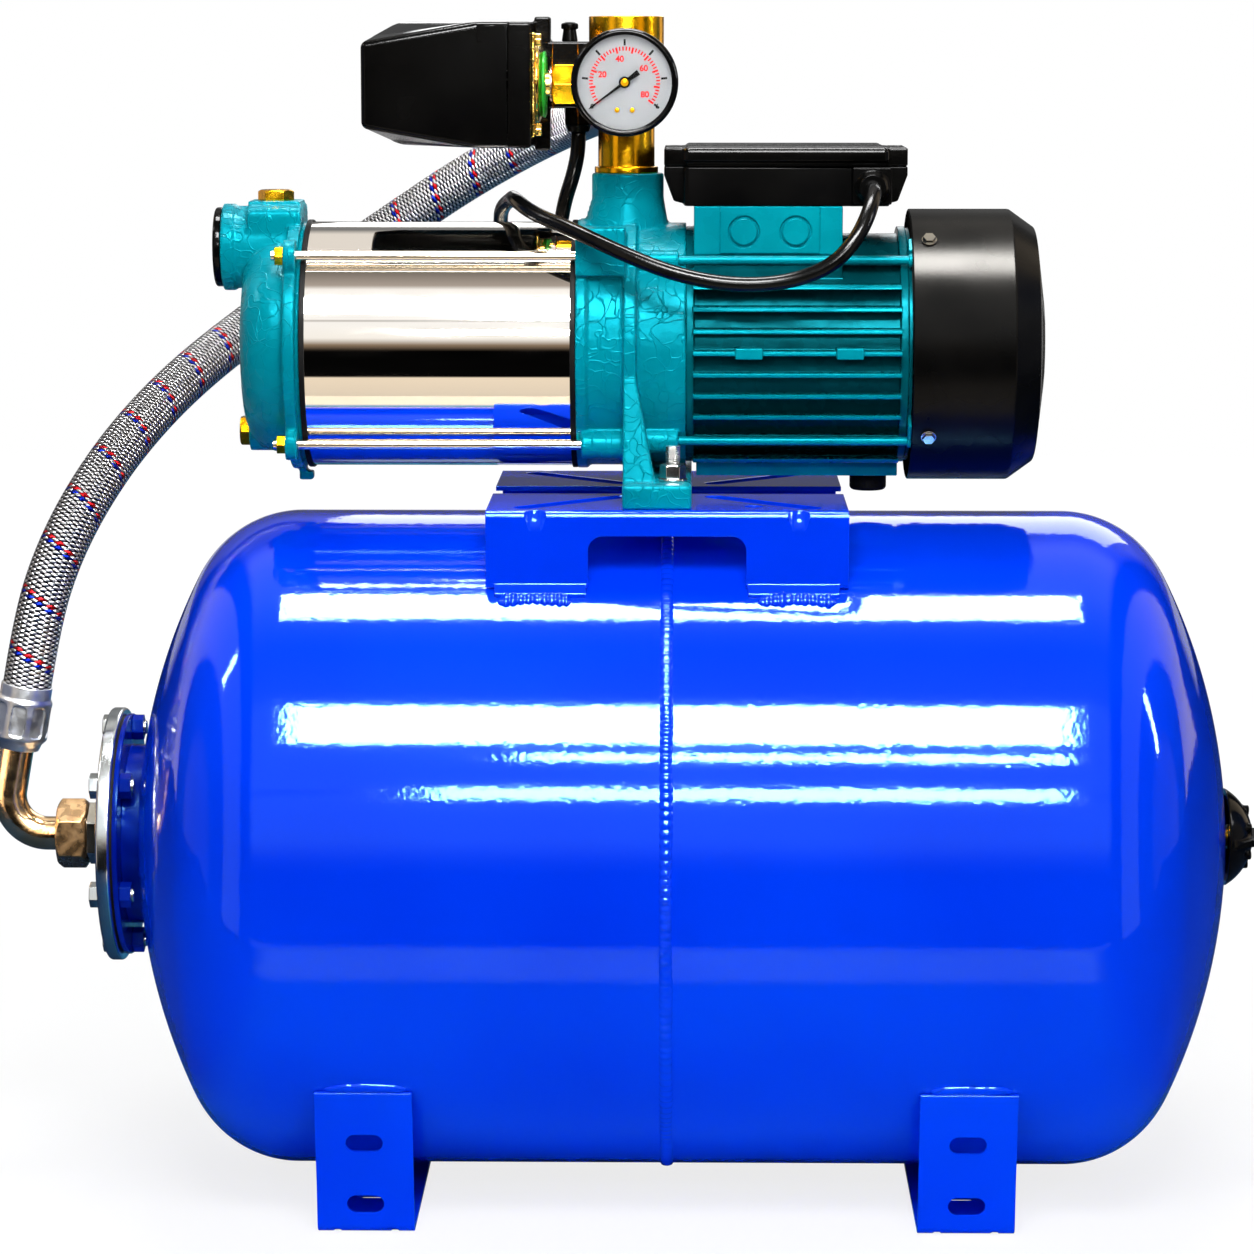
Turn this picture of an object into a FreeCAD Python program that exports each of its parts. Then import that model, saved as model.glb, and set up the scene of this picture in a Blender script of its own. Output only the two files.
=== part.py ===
import FreeCAD, Part
import math
import os

# Booster pump on a horizontal pressure tank. Millimetres, +Z up, +X along the pump and tank axes.
# The origin lies on the floor, under the tank's weld seam, between the two feet.

os.makedirs("parts", exist_ok=True)
V = FreeCAD.Vector

# General clearances
fit_gap = 0.3
running_gap = 0.05
bolt_hole_gap = 0.25

# Tank: two deep-drawn halves with dished ends, butt welded at x = 0
tank_radius = 189.0
tank_wall = 2.0
tank_floor_gap = 9.0
tank_axis_z = tank_radius + tank_floor_gap
left_straight = 212.0
right_straight = 227.0
knuckle_radius = 64.0
crown_radius = 340.0
seam_gap = 1.0
seam_bead_half_width = 4.0
seam_bead_height = 1.6

# Neck, its flange, and the bolted counter flange that clamps the membrane's lip
neck_radius = 52.0
neck_wall = 3.0
neck_reach = 5.6
neck_flange_radius = 70.0
neck_flange_thickness = 3.0
lip_thickness = 1.0
counter_flange_radius = 73.5
counter_flange_thickness = 8.0
counter_flange_edge = 1.0
flange_bolt_circle = 62.0
flange_bolt_count = 6
flange_bolt_turn = 37.0
flange_bolt_radius = 4.0
flange_bolt_flats = 13.0
flange_bolt_head = 5.3
flange_nut_height = 6.5
flange_bolt_end = 1.5
boss_flats = 32.0
boss_length = 13.5
boss_bore = 11.0
membrane_wall = 2.5
membrane_gap = 39.0
membrane_radius = tank_radius - membrane_gap
membrane_shoulder = 90.0
membrane_tail = 70.0
membrane_tail_gap = 60.0
membrane_mouth_gap = 12.0

# Air valve on the right crown
valve_hole = 12.0
valve_flange_radius = 14.0
valve_flange_thickness = 1.2
valve_stem_radius = 5.0
valve_stem_length = 11.0
valve_bore = 2.2
valve_pin_radius = 1.9
valve_pin_length = 14.5
valve_cap_lift = 1.5
valve_cap_radius = 28.4
valve_cap_height = 16.5
valve_cap_wall = 2.2
valve_cap_hub_wall = 2.0
valve_fin_half_thickness = 2.4
valve_fin_reach = 30.0
valve_fin_tip_half_width = 10.0
valve_knob_radius = 2.6
valve_knob_circle = 16.0
valve_knob_count = 6
valve_knob_height = 12.2

# Saddle: two bent plates that carry the pump
sheet_thickness = 3.0
saddle_half_length = 100.0
saddle_half_width = 105.0
saddle_gap_half = 19.0
saddle_lift = 13.0
saddle_top_z = tank_axis_z + tank_radius + saddle_lift
saddle_bend = 4.0
saddle_seat_gap = 0.3
window_half_width = 43.5
window_top_drop = 14.0
window_corner = 8.0
saddle_slot_width = 12.0
saddle_slot_inner = (27.0, 35.0)
saddle_slot_outer = (79.0, 88.0)
saddle_hole_radius = 5.0
saddle_hole_place = (48.0, 81.0)
dimple_x = 72.5
dimple_radius = 6.5
dimple_depth = 4.4
dimple_height = 13.6
dimple_wall = 2.2
saddle_lip_reach = 4.2
saddle_lip_thickness = 2.2
saddle_lip_notch = 5.0

# Feet: U-shaped strips around the tank's underside
foot_width = 54.0
foot_offset = 166.5
foot_weld_drop = 114.3
foot_top_z = tank_axis_z - foot_weld_drop
foot_fold_inset = 8.52
foot_fold_y = math.sqrt(tank_radius ** 2 - foot_weld_drop ** 2) - foot_fold_inset
foot_fold_z = 30.0
foot_bottom_inset = 3.5
foot_bottom_y = foot_fold_y - foot_bottom_inset
foot_bend = 6.0
foot_slot_length = 20.5
foot_slot_width = 10.0
foot_slot_low_z = 17.0
foot_slot_high_z = 53.6
anchor_slot_y = 75.0
foot_nick_radius = 2.0
foot_nick_offset = 16.0

# Hose between the tank's boss and the five-way fitting: its centre line, chosen by hand
hose_radius = 14.0
hose_start_reach = 34.7
hose_start_rise = 88.0
hose_end_y = 80.0
rear_port_rise = 134.5
hose_route = [
    (-371.7, 0.0, 286.0), (-365.3, 0.0, 321.8), (-355.7, 9.7, 356.2), (-340.2, 31.2, 390.5),
    (-319.4, 67.2, 423.3), (-293.3, 113.5, 452.6), (-260.3, 162.0, 479.7), (-219.0, 203.4, 509.1),
    (-173.3, 228.5, 540.1), (-130.7, 232.2, 568.7), (-89.2, 217.1, 592.1), (-55.2, 186.6, 608.4),
    (-33.9, 151.3, 616.0), (-24.0, 115.4, 618.5), (-24.0, 80.0, 618.5)]
union_nut_flats = 36.0
union_nut_length = 17.5
pipe_radius = 9.75
pipe_wall = 1.2
elbow_radius = 22.0
ferrule_radius = 16.2
ferrule_length = 38.0
ferrule_waist = 12.5
ferrule_flat_count = 8
ferrule_flat_depth = 1.5
ferrule_flat_half_width = 4.2
ferrule_flat_corner = 2.6

# Pump: axis, suction cover, sleeve, studs
pump_axis_height = 84.0
pump_axis_z = saddle_top_z + pump_axis_height
cover_flange_x = -214.3
cover_flange_thickness = 6.7
cover_flange_radius = 71.5
cover_register_length = 2.4
cover_dome_x = -240.7
cover_dome_radius = 62.0
cover_dome_bend = 20.0
cover_wall = 7.0
cover_tab_drop = 78.0
port_bore = 15.15
port_thread_length = 18.0
inlet_axis_rise = 55.0
inlet_face_x = -253.5
inlet_collar_length = 7.0
inlet_collar_radius = 24.6
inlet_radius = 23.4
inlet_block_x = -238.0
inlet_block_half_width = 22.0
inlet_block_rise = 24.0
fill_pad_half_width = 15.0
fill_pad_height = 2.6
fill_plug_x = -223.5
fill_plug_flats = 18.0
fill_plug_head = 6.0
fill_plug_stem = 7.8
drain_drop = 50.0
drain_boss_radius = 11.4
drain_boss_x = -239.7
drain_plug_flats = 16.0
drain_plug_head = 5.7
drain_plug_stem = 4.8
suction_cap_radius = 22.5
suction_cap_thickness = 4.2
suction_cap_plug = 10.0
sleeve_radius = 69.4
sleeve_wall = 1.5
gasket_radius = 70.6
gasket_thickness = 3.0
stud_circle = 74.5
stud_radius = 3.0
stud_nut_flats = 10.0
stud_nut_height = 5.0
stud_proud = 2.0
lug_radius = 9.0

# Pump bracket casting
bracket_face_x = -51.5
bracket_length = 61.5
bracket_drum_radius = 69.0
bracket_rim_radius = 70.8
bracket_rim_length = 6.0
bracket_cavity_radius = 58.0
bracket_wall_x = -30.0
bracket_wall_thickness = 12.0
bracket_rib_x = -24.8
bracket_rib_width = 7.2
bracket_rib_radius = 73.0
bracket_seal_bore = 9.0
bearing_hub_radius = 24.0
outlet_x = -24.0
outlet_radius = 21.2
outlet_flare = 25.0
outlet_height = 97.2
web_top_drop = 14.0
web_foot_width = 18.3
web_spread = 12.0
pump_foot_thickness = 13.4
pump_foot_half_length = 97.0
pump_foot_x = -25.0
pump_foot_width = 38.5
pump_foot_edge = 2.0
foot_bolt_x = 3.0
foot_bolt_y = 75.0
foot_bolt_radius = 4.0
foot_bolt_flats = 13.0
foot_bolt_head = 5.3
foot_bolt_proud = 18.0
foot_nut_height = 8.0
foot_washer_radius = 8.0
foot_washer_thickness = 1.6

# Stages, shaft, bearings, motor
stage_count = 5
impeller_radius = 54.0
impeller_width = 9.0
impeller_plate = 1.8
impeller_hub = 11.0
impeller_eye = 22.0
impeller_vanes = 6
impeller_start = 5.0
diffuser_gap = 0.4
diffuser_wall = 2.0
diffuser_bore = 14.0
pump_shaft_radius = 6.0
motor_shaft_radius = 7.5
fan_shaft_radius = 6.0
shaft_start_x = -208.0
shaft_step_x = -20.0
shaft_end_x = 170.0
seal_radius = 14.0
seal_length = 14.0
bearing_radius = 17.5
bearing_width = 11.0
front_bearing_x = -6.0
rear_bearing_x = 119.0
motor_start_x = 10.0
motor_end_x = 134.0
motor_core_radius = 63.0
motor_bore_radius = 58.0
motor_fin_radius = 74.5
motor_fin_pitch = 12.1
motor_fin_thickness = 2.4
motor_side_fins = 4
motor_low_fin_drop = 63.0
motor_ring_length = 4.5
motor_ring_radius = 67.0
motor_rod_corner = 46.9
motor_belly_half_width = 24.0
motor_belly_drop = 73.0
motor_belly_thickness = 12.0
nameplate_boss_x = (45.0, 101.0)
nameplate_boss_half_length = 7.5
nameplate_boss_half_height = 3.0
nameplate_boss_reach = 76.0
stator_bore = 32.5
stator_gap = 0.2
stator_start_x = 30.0
stator_end_x = 110.0
winding_reach = 10.0
winding_inner = 36.0
winding_outer = 54.0
rotor_radius = 32.0
tie_rod_circle = 71.5
tie_rod_radius = 2.5
tie_rod_boss = 5.5
tie_rod_low_boss = 7.0
shield_thickness = 5.0
shield_arm_length = 19.0
shield_arm_half_width = 5.0
fan_x = 150.0
fan_width = 20.0
fan_radius = 61.0
fan_hub = 13.0
fan_disc = 2.0
fan_blades = 7
fan_blade_half_thickness = 1.1
fan_cover_x = 136.0
fan_cover_radius = 76.9
fan_cover_wall = 1.6
fan_cover_straight_x = 192.9
fan_cover_taper_x = 207.4
fan_cover_taper_radius = 66.5
fan_cover_end_x = 212.6
fan_cover_end_radius = 30.0
grille_rings = (19.0, 28.0, 37.0, 46.0, 55.0)
grille_slot_half_width = 2.8
grille_spoke_half_width = 3.0
grille_spokes = 6
cover_screw_x = 145.5
cover_screw_turn = 7.6
cover_screw_head = 4.4
cover_screw_head_height = 3.2
cover_screw_flats = 6.4
cover_screw_washer = 1.2
cover_screw_radius = 2.0
bumper_x = 114.5
bumper_radius = 10.5
bumper_lift = 0.6

# Terminal pedestal and box on the motor
pedestal_x = (14.4, 97.3)
pedestal_half_width = 50.0
pedestal_panel_x = (29.0, 84.6)
pedestal_panel_depth = 1.5
pedestal_rise = 80.3
knockout_x = (42.2, 71.1)
knockout_rise = 66.2
knockout_radius = 8.85
knockout_depth = 1.8
knockout_ring = 1.1
box_x = (8.8, 122.8)
box_half_width = 48.0
box_wall = 2.5
box_base_height = 21.7
box_groove_height = 3.0
box_groove_depth = 1.5
box_lid_height = 8.0
box_ear = 11.2
box_ear_half_width = 32.0
box_ear_taper = 16.7
box_ear_slope = 5.4
box_ear_root = 2.2
box_corner = 3.0
box_screw_radius = 3.0
gland_x = 113.3
gland_rise = 91.0
gland_z = pump_axis_z + gland_rise
gland_boss_half = 11.0
gland_boss_reach = 4.0
gland_radius = 9.8
gland_nut_length = 5.5
gland_tip_radius = 7.2
gland_tip_length = 3.5

# Motor lead: its centre line, chosen by hand
lead_radius = 4.25
lead_route = [
    (113.3, -61.0, 575.0), (113.3, -73.4, 575.0), (112.2, -86.1, 570.3), (109.0, -97.0, 560.7),
    (101.9, -103.7, 547.5), (88.5, -104.8, 533.5), (64.6, -100.2, 524.9), (34.9, -98.1, 523.5),
    (4.1, -94.0, 529.0), (-25.3, -85.1, 540.1), (-52.5, -70.3, 552.2), (-75.8, -50.6, 560.5),
    (-87.2, -24.9, 567.9), (-89.3, 4.4, 566.6), (-96.9, 32.9, 559.9), (-98.3, 55.7, 548.2),
    (-101.0, 71.9, 530.3), (-113.4, 81.5, 507.2), (-108.7, 88.7, 482.4), (-87.7, 93.8, 467.4),
    (-61.8, 93.0, 471.9), (-47.2, 86.3, 492.7), (-51.6, 76.3, 519.7), (-64.1, 62.7, 544.2),
    (-60.8, 45.4, 562.6), (-54.9, 33.8, 579.6), (-52.0, 31.0, 593.7), (-52.0, 31.0, 603.5)]
lead_drop = 13.5

# Five-way brass fitting
fitting_male = 15.0
fitting_collar_radius = 18.0
fitting_collar_height = 3.6
fitting_barrel_radius = 16.0
fitting_socket_radius = 21.2
fitting_socket_length = 22.0
fitting_cone_length = 7.0
fitting_height = 88.0
fitting_bore = 11.0
rear_port_reach = 24.0
side_port_radius = 6.5
side_port_boss = 10.0
side_port_reach = 32.0

# Pressure gauge
gauge_rise = 148.8
gauge_z = pump_axis_z + gauge_rise
gauge_case_radius = 28.6
gauge_bezel_radius = 29.65
gauge_front_y = -68.0
gauge_back_y = -44.0
gauge_bezel_depth = 8.0
gauge_window_radius = 26.2
gauge_dial_y = -62.0
gauge_dial_thickness = 0.8
gauge_lens_y = -66.6
gauge_lens_thickness = 1.2
gauge_stem_radius = 5.8
gauge_hex_flats = 14.0
gauge_hex_length = 7.0
needle_turn = 216.2
needle_length = 24.3
needle_tail = 9.5
needle_hub_radius = 3.2
needle_half_width = 0.9
needle_tail_half_width = 1.6
needle_thickness = 0.6
needle_lift = 1.2

# Pressure switch, lying on its side with its swivel nut towards the fitting
switch_rise = 147.0
switch_z = pump_axis_z + switch_rise
switch_half_height = 35.0
switch_half_width = 36.0
switch_left_x = -172.0
switch_near_shoulder_x = -107.0
switch_far_shoulder_x = -158.0
switch_split_x = -90.0
switch_base_x = -77.0
switch_near_end_half = 24.0
switch_far_end_half = 25.5
switch_cover_wall = 3.0
switch_rim_half_height = 31.0
switch_step = 0.6
switch_step_edge = 0.4
switch_edge = 2.0
cheek_x = -68.0
cheek_y = (22.8, 42.0)
cheek_half_height = 38.0
chamber_x = -44.0
chamber_z = (switch_z - 14.0, switch_z + 24.0)
flange_plate_half = (24.0, 29.0)
flange_plate_thickness = 2.0
flange_dish_radius = 22.2
flange_dish_depth = 5.0
flange_stub_radius = 6.6
flange_stub_length = 4.0
flange_screw_place = (18.0, 24.0)
flange_screw_flats = 7.0
flange_screw_head = 3.6
swivel_nut_flats = 22.0
swivel_nut_length = 14.8
low_gland_radius = 7.8
low_gland_tip = 6.0
high_gland_radius = 4.6
high_gland_height = 11.0
piston_radius = 6.0
piston_length = 9.0
piston_travel = 1.5
piston_tip_radius = 0.8
piston_tip_length = 3.0
lever_thickness = 2.0
lever_half_width = 8.0
lever_pivot_z = 18.0
lever_low_z = -16.0
lever_gap = 0.3
lever_pin_radius = 1.5
spring_radius = 7.0
spring_wire = 1.0
spring_length = 22.0
spring_turns = 6


def cylinder(axis, start, end, radius, u=0.0, v=0.0):
    """Round bar along an axis; u and v are its two other coordinates, in X, Y, Z order."""
    base = {"x": V(start, u, v), "y": V(u, start, v), "z": V(u, v, start)}[axis]
    direction = {"x": V(1, 0, 0), "y": V(0, 1, 0), "z": V(0, 0, 1)}[axis]
    return Part.makeCylinder(radius, end - start, base, direction)


def cone(axis, start, end, start_radius, end_radius, u=0.0, v=0.0):
    base = {"x": V(start, u, v), "y": V(u, start, v), "z": V(u, v, start)}[axis]
    direction = {"x": V(1, 0, 0), "y": V(0, 1, 0), "z": V(0, 0, 1)}[axis]
    return Part.makeCone(start_radius, end_radius, end - start, base, direction)


def tube(axis, start, end, outer, inner, u=0.0, v=0.0):
    return cylinder(axis, start, end, outer, u, v).cut(cylinder(axis, start - 1, end + 1, inner, u, v))


def block(x0, x1, y0, y1, z0, z1):
    return Part.makeBox(x1 - x0, y1 - y0, z1 - z0, V(x0, y0, z0))


def prism(points, plane, start, end):
    """Straight extrusion of a closed polygon drawn in the xy, xz or yz plane."""
    lift = {"xy": lambda p: V(p[0], p[1], start), "xz": lambda p: V(p[0], start, p[1]),
            "yz": lambda p: V(start, p[0], p[1])}[plane]
    travel = {"xy": V(0, 0, end - start), "xz": V(0, end - start, 0), "yz": V(end - start, 0, 0)}[plane]
    corners = [lift(p) for p in points]
    return Part.Face(Part.makePolygon(corners + [corners[0]])).extrude(travel)


def hexagon(axis, start, end, flats, u=0.0, v=0.0, turn=0.0):
    """Hexagonal prism for nuts and bolt heads."""
    corner = flats / math.sqrt(3)
    ring = [(u + corner * math.cos(math.radians(60 * k + turn)),
             v + corner * math.sin(math.radians(60 * k + turn))) for k in range(6)]
    return prism(ring, {"x": "yz", "y": "xz", "z": "xy"}[axis], start, end)


def fuse(shapes):
    return shapes[0].multiFuse(shapes[1:]).removeSplitter()


def lathe(outline, axis, u=0.0, v=0.0):
    """Turned solid from a closed outline of (distance along the axis, radius) points.

    An item of the form (mid point, end point) makes an arc from the point before it.
    """
    edges = []
    here = outline[0]
    for item in list(outline[1:]) + [outline[0]]:
        arc = isinstance(item[0], tuple)
        end = item[1] if arc else item
        a, b = V(here[0], 0, here[1]), V(end[0], 0, end[1])
        if arc:
            edges.append(Part.Arc(a, V(item[0][0], 0, item[0][1]), b).toShape())
        elif a.distanceToPoint(b) > 1e-6:
            edges.append(Part.makeLine(a, b))
        here = end
    solid = Part.Face(Part.Wire(edges)).revolve(V(0, 0, 0), V(1, 0, 0), 360)
    if axis == "y":
        solid.rotate(V(0, 0, 0), V(0, 0, 1), 90)
        solid.translate(V(u, 0, v))
    elif axis == "z":
        solid.rotate(V(0, 0, 0), V(0, 1, 0), -90)
        solid.translate(V(u, v, 0))
    else:
        solid.translate(V(0, u, v))
    return solid


def slot_xy(a, b, width, z0, z1):
    """Cutter for a round-ended slot between two centres, along Z."""
    dx, dy = b[0] - a[0], b[1] - a[1]
    length = math.hypot(dx, dy)
    bar = block(0, length, -width / 2, width / 2, z0, z1)
    bar.rotate(V(0, 0, 0), V(0, 0, 1), math.degrees(math.atan2(dy, dx)))
    bar.translate(V(a[0], a[1], 0))
    ends = [cylinder("z", z0, z1, width / 2, *a), cylinder("z", z0, z1, width / 2, *b)]
    return bar.multiFuse(ends)


def corners_at_45(radius, u=0.0, v=0.0):
    """The four points at 45 degrees on a circle."""
    reach = radius / math.sqrt(2)
    return [(u + sy * reach, v + sz * reach) for sy in (-1, 1) for sz in (-1, 1)]


def save(name, solids):
    shape = Part.makeCompound(solids) if isinstance(solids, list) else solids
    shape.exportStep("parts/" + name + ".step")


def cord(route, radius):
    """Round tube along straight runs joined by tangent arcs; returns the solid and its length."""
    points = [V(*p) for p in route]
    edges = []
    here = points[0]
    radii = []
    for before, corner, after in zip(points, points[1:], points[2:]):
        inward, onward = (corner - before), (after - corner)
        turn = inward.getAngle(onward)
        reach = 0.45 * min(inward.Length, onward.Length)
        radii.append(reach / math.tan(turn / 2))
        inward.normalize()
        onward.normalize()
        start = corner - inward * reach
        end = corner + onward * reach
        bisector = onward - inward
        bisector.normalize()
        middle = corner + bisector * (radii[-1] / math.cos(turn / 2) - radii[-1])
        edges.append(Part.LineSegment(here, start).toShape())
        edges.append(Part.Arc(start, middle, end).toShape())
        here = end
    edges.append(Part.LineSegment(here, points[-1]).toShape())
    path = Part.Wire(edges)
    section = Part.Wire(Part.makeCircle(radius, points[0], points[1] - points[0]))
    solid = path.makePipeShell([section], True, False)
    expected = math.pi * radius ** 2 * path.Length
    print("cord length %.0f, volume ratio %.4f, radii %s" % (
        path.Length, solid.Volume / expected, [round(r) for r in radii]))
    return solid


# Tank shells

def crown_reach(side, tangent_x, radius, knuckle, crown):
    """Centre of the crown sphere on the tank axis."""
    offset = math.sqrt((crown - knuckle) ** 2 - (radius - knuckle) ** 2)
    return tangent_x - side * offset, offset


def head_edges(side, tangent_x, radius, knuckle, crown, opening):
    """Knuckle arc and crown arc of a dished end, from its tangent line to its opening."""
    centre_x, offset = crown_reach(side, tangent_x, radius, knuckle, crown)
    join_angle = math.atan2(radius - knuckle, offset)
    half = (math.pi / 2 + join_angle) / 2
    stop = math.asin(opening / crown)
    middle = (join_angle + stop) / 2

    def on_knuckle(angle):
        return V(tangent_x + side * knuckle * math.cos(angle), 0,
                 tank_axis_z + radius - knuckle + knuckle * math.sin(angle))

    def on_crown(angle):
        return V(centre_x + side * crown * math.cos(angle), 0, tank_axis_z + crown * math.sin(angle))

    return [Part.Arc(on_knuckle(math.pi / 2), on_knuckle(half), on_knuckle(join_angle)).toShape(),
            Part.Arc(on_crown(join_angle), on_crown(middle), on_crown(stop)).toShape()]


def tank_half(side, straight, opening):
    """One drawn half as a shell with a round opening at its crown."""
    seam_x = side * seam_gap / 2
    tangent_x = side * straight
    outer = head_edges(side, tangent_x, tank_radius, knuckle_radius, crown_radius, opening)
    inner = head_edges(side, tangent_x, tank_radius - tank_wall, knuckle_radius - tank_wall,
                       crown_radius - tank_wall, opening)
    outer_z = tank_axis_z + tank_radius
    inner_z = outer_z - tank_wall
    edges = [Part.makeLine(V(seam_x, 0, outer_z), V(tangent_x, 0, outer_z))] + outer
    edges.append(Part.makeLine(outer[-1].Vertexes[-1].Point, inner[-1].Vertexes[-1].Point))
    edges += inner
    edges.append(Part.makeLine(V(tangent_x, 0, inner_z), V(seam_x, 0, inner_z)))
    edges.append(Part.makeLine(V(seam_x, 0, inner_z), V(seam_x, 0, outer_z)))
    face = Part.Face(Part.Wire(Part.__sortEdges__(edges)))
    return face.revolve(V(0, 0, tank_axis_z), V(1, 0, 0), 360)


def crown_x(side, straight, radius_there=0.0):
    """Place of the outer crown surface at a given distance from the axis."""
    centre_x, _ = crown_reach(side, side * straight, tank_radius, knuckle_radius, crown_radius)
    return centre_x + side * math.sqrt(crown_radius ** 2 - radius_there ** 2)


def seam():
    """Weld bead that fills the butt joint and stands proud of the shell."""
    outer = tank_radius
    return lathe([(-seam_gap / 2, outer - tank_wall), (-seam_gap / 2, outer), (-seam_bead_half_width, outer),
                  ((0.0, outer + seam_bead_height), (seam_bead_half_width, outer)),
                  (seam_gap / 2, outer), (seam_gap / 2, outer - tank_wall)], "x", 0, tank_axis_z)


# Neck group: places along X follow from the left crown
left_crown_x = crown_x(-1, left_straight)
flange_back_x = left_crown_x - neck_reach
flange_face_x = flange_back_x - neck_flange_thickness
lip_face_x = flange_face_x - lip_thickness
counter_face_x = lip_face_x - counter_flange_thickness
boss_face_x = counter_face_x - boss_length


def flange_bolt_places():
    places = []
    for k in range(flange_bolt_count):
        angle = math.radians(flange_bolt_turn + k * 360.0 / flange_bolt_count)
        places.append((-flange_bolt_circle * math.cos(angle),
                       tank_axis_z + flange_bolt_circle * math.sin(angle)))
    return places


def bolt_holes(start, end):
    hole = flange_bolt_radius + bolt_hole_gap
    return [cylinder("x", start - 1, end + 1, hole, y, z) for y, z in flange_bolt_places()]


def neck_flange():
    """Short neck pushed through the left crown, with the loose flange welded to it."""
    pipe_end = crown_x(-1, left_straight, neck_radius) + tank_wall
    pipe = tube("x", flange_face_x, pipe_end, neck_radius, neck_radius - neck_wall, 0, tank_axis_z)
    flange = tube("x", flange_face_x, flange_back_x, neck_flange_radius, neck_radius - neck_wall,
                  0, tank_axis_z)
    return fuse([pipe, flange]).cut(bolt_holes(flange_face_x, flange_back_x))


def counter_flange():
    """Galvanised blanking flange with the welded hexagonal socket for the hose."""
    edge = counter_flange_edge
    disc = lathe([(lip_face_x, 0), (lip_face_x, counter_flange_radius - edge),
                  (lip_face_x - edge, counter_flange_radius), (counter_face_x + edge, counter_flange_radius),
                  (counter_face_x, counter_flange_radius - edge), (counter_face_x, 0)], "x", 0, tank_axis_z)
    boss = hexagon("x", boss_face_x, counter_face_x, boss_flats, 0, tank_axis_z, 30)
    bore = cylinder("x", boss_face_x - 1, lip_face_x + 1, boss_bore, 0, tank_axis_z)
    return fuse([disc, boss]).cut([bore] + bolt_holes(counter_face_x, lip_face_x))


def flange_bolts():
    bolts = []
    for y, z in flange_bolt_places():
        head = hexagon("x", counter_face_x - flange_bolt_head, counter_face_x, flange_bolt_flats, y, z, 15)
        shank_end = flange_back_x + flange_nut_height + flange_bolt_end
        bolts.append(fuse([head, cylinder("x", counter_face_x, shank_end, flange_bolt_radius, y, z)]))
    return bolts


def flange_nuts():
    nuts = []
    for y, z in flange_bolt_places():
        nut = hexagon("x", flange_back_x, flange_back_x + flange_nut_height, flange_bolt_flats, y, z, 15)
        bore = cylinder("x", flange_back_x - 1, flange_back_x + flange_nut_height + 1,
                        flange_bolt_radius + bolt_hole_gap, y, z)
        nuts.append(nut.cut(bore))
    return nuts


def membrane():
    """Replaceable rubber bag, hung in the tank by the lip between the flanges."""
    neck = neck_radius - neck_wall - fit_gap
    wall = membrane_wall
    belly = membrane_radius
    left_x, right_x = left_crown_x + membrane_mouth_gap, crown_x(1, right_straight) - membrane_tail_gap
    shoulder, tail = membrane_shoulder, membrane_tail
    outer = [(lip_face_x, neck - wall), (lip_face_x, neck_flange_radius - 1),
             (flange_face_x, neck_flange_radius - 1), (flange_face_x, neck), (left_x, neck),
             (left_x + shoulder / 2, belly * 0.75), (left_x + shoulder, belly),
             (right_x - tail, belly), (right_x - tail / 4, belly * 0.7), (right_x, 0)]
    inner = [(right_x - wall, 0), (right_x - tail / 4 - wall, belly * 0.7 - wall),
             (right_x - tail, belly - wall), (left_x + shoulder, belly - wall),
             (left_x + shoulder / 2 + wall, belly * 0.75 - wall), (left_x + wall, neck - wall)]
    bag = lathe(outer + inner, "x", 0, tank_axis_z)
    return bag.cut(bolt_holes(lip_face_x, flange_face_x))


# Air valve
right_crown_x = crown_x(1, right_straight)
valve_seat_x = right_crown_x + fit_gap / 3


def air_valve_body():
    """Charging valve screwed into the right crown."""
    inside = right_crown_x - tank_wall - 2
    face = valve_seat_x + valve_flange_thickness
    return lathe([(inside, valve_bore), (inside, valve_hole - 0.1), (valve_seat_x, valve_hole - 0.1),
                  (valve_seat_x, valve_flange_radius), (face, valve_flange_radius),
                  (face, valve_stem_radius), (face + valve_stem_length, valve_stem_radius),
                  (face + valve_stem_length, valve_bore)], "x", 0, tank_axis_z)


def air_valve_core():
    tip = valve_seat_x + valve_flange_thickness + valve_stem_length - 0.5
    return cylinder("x", tip - valve_pin_length, tip, valve_pin_radius, 0, tank_axis_z)


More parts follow.
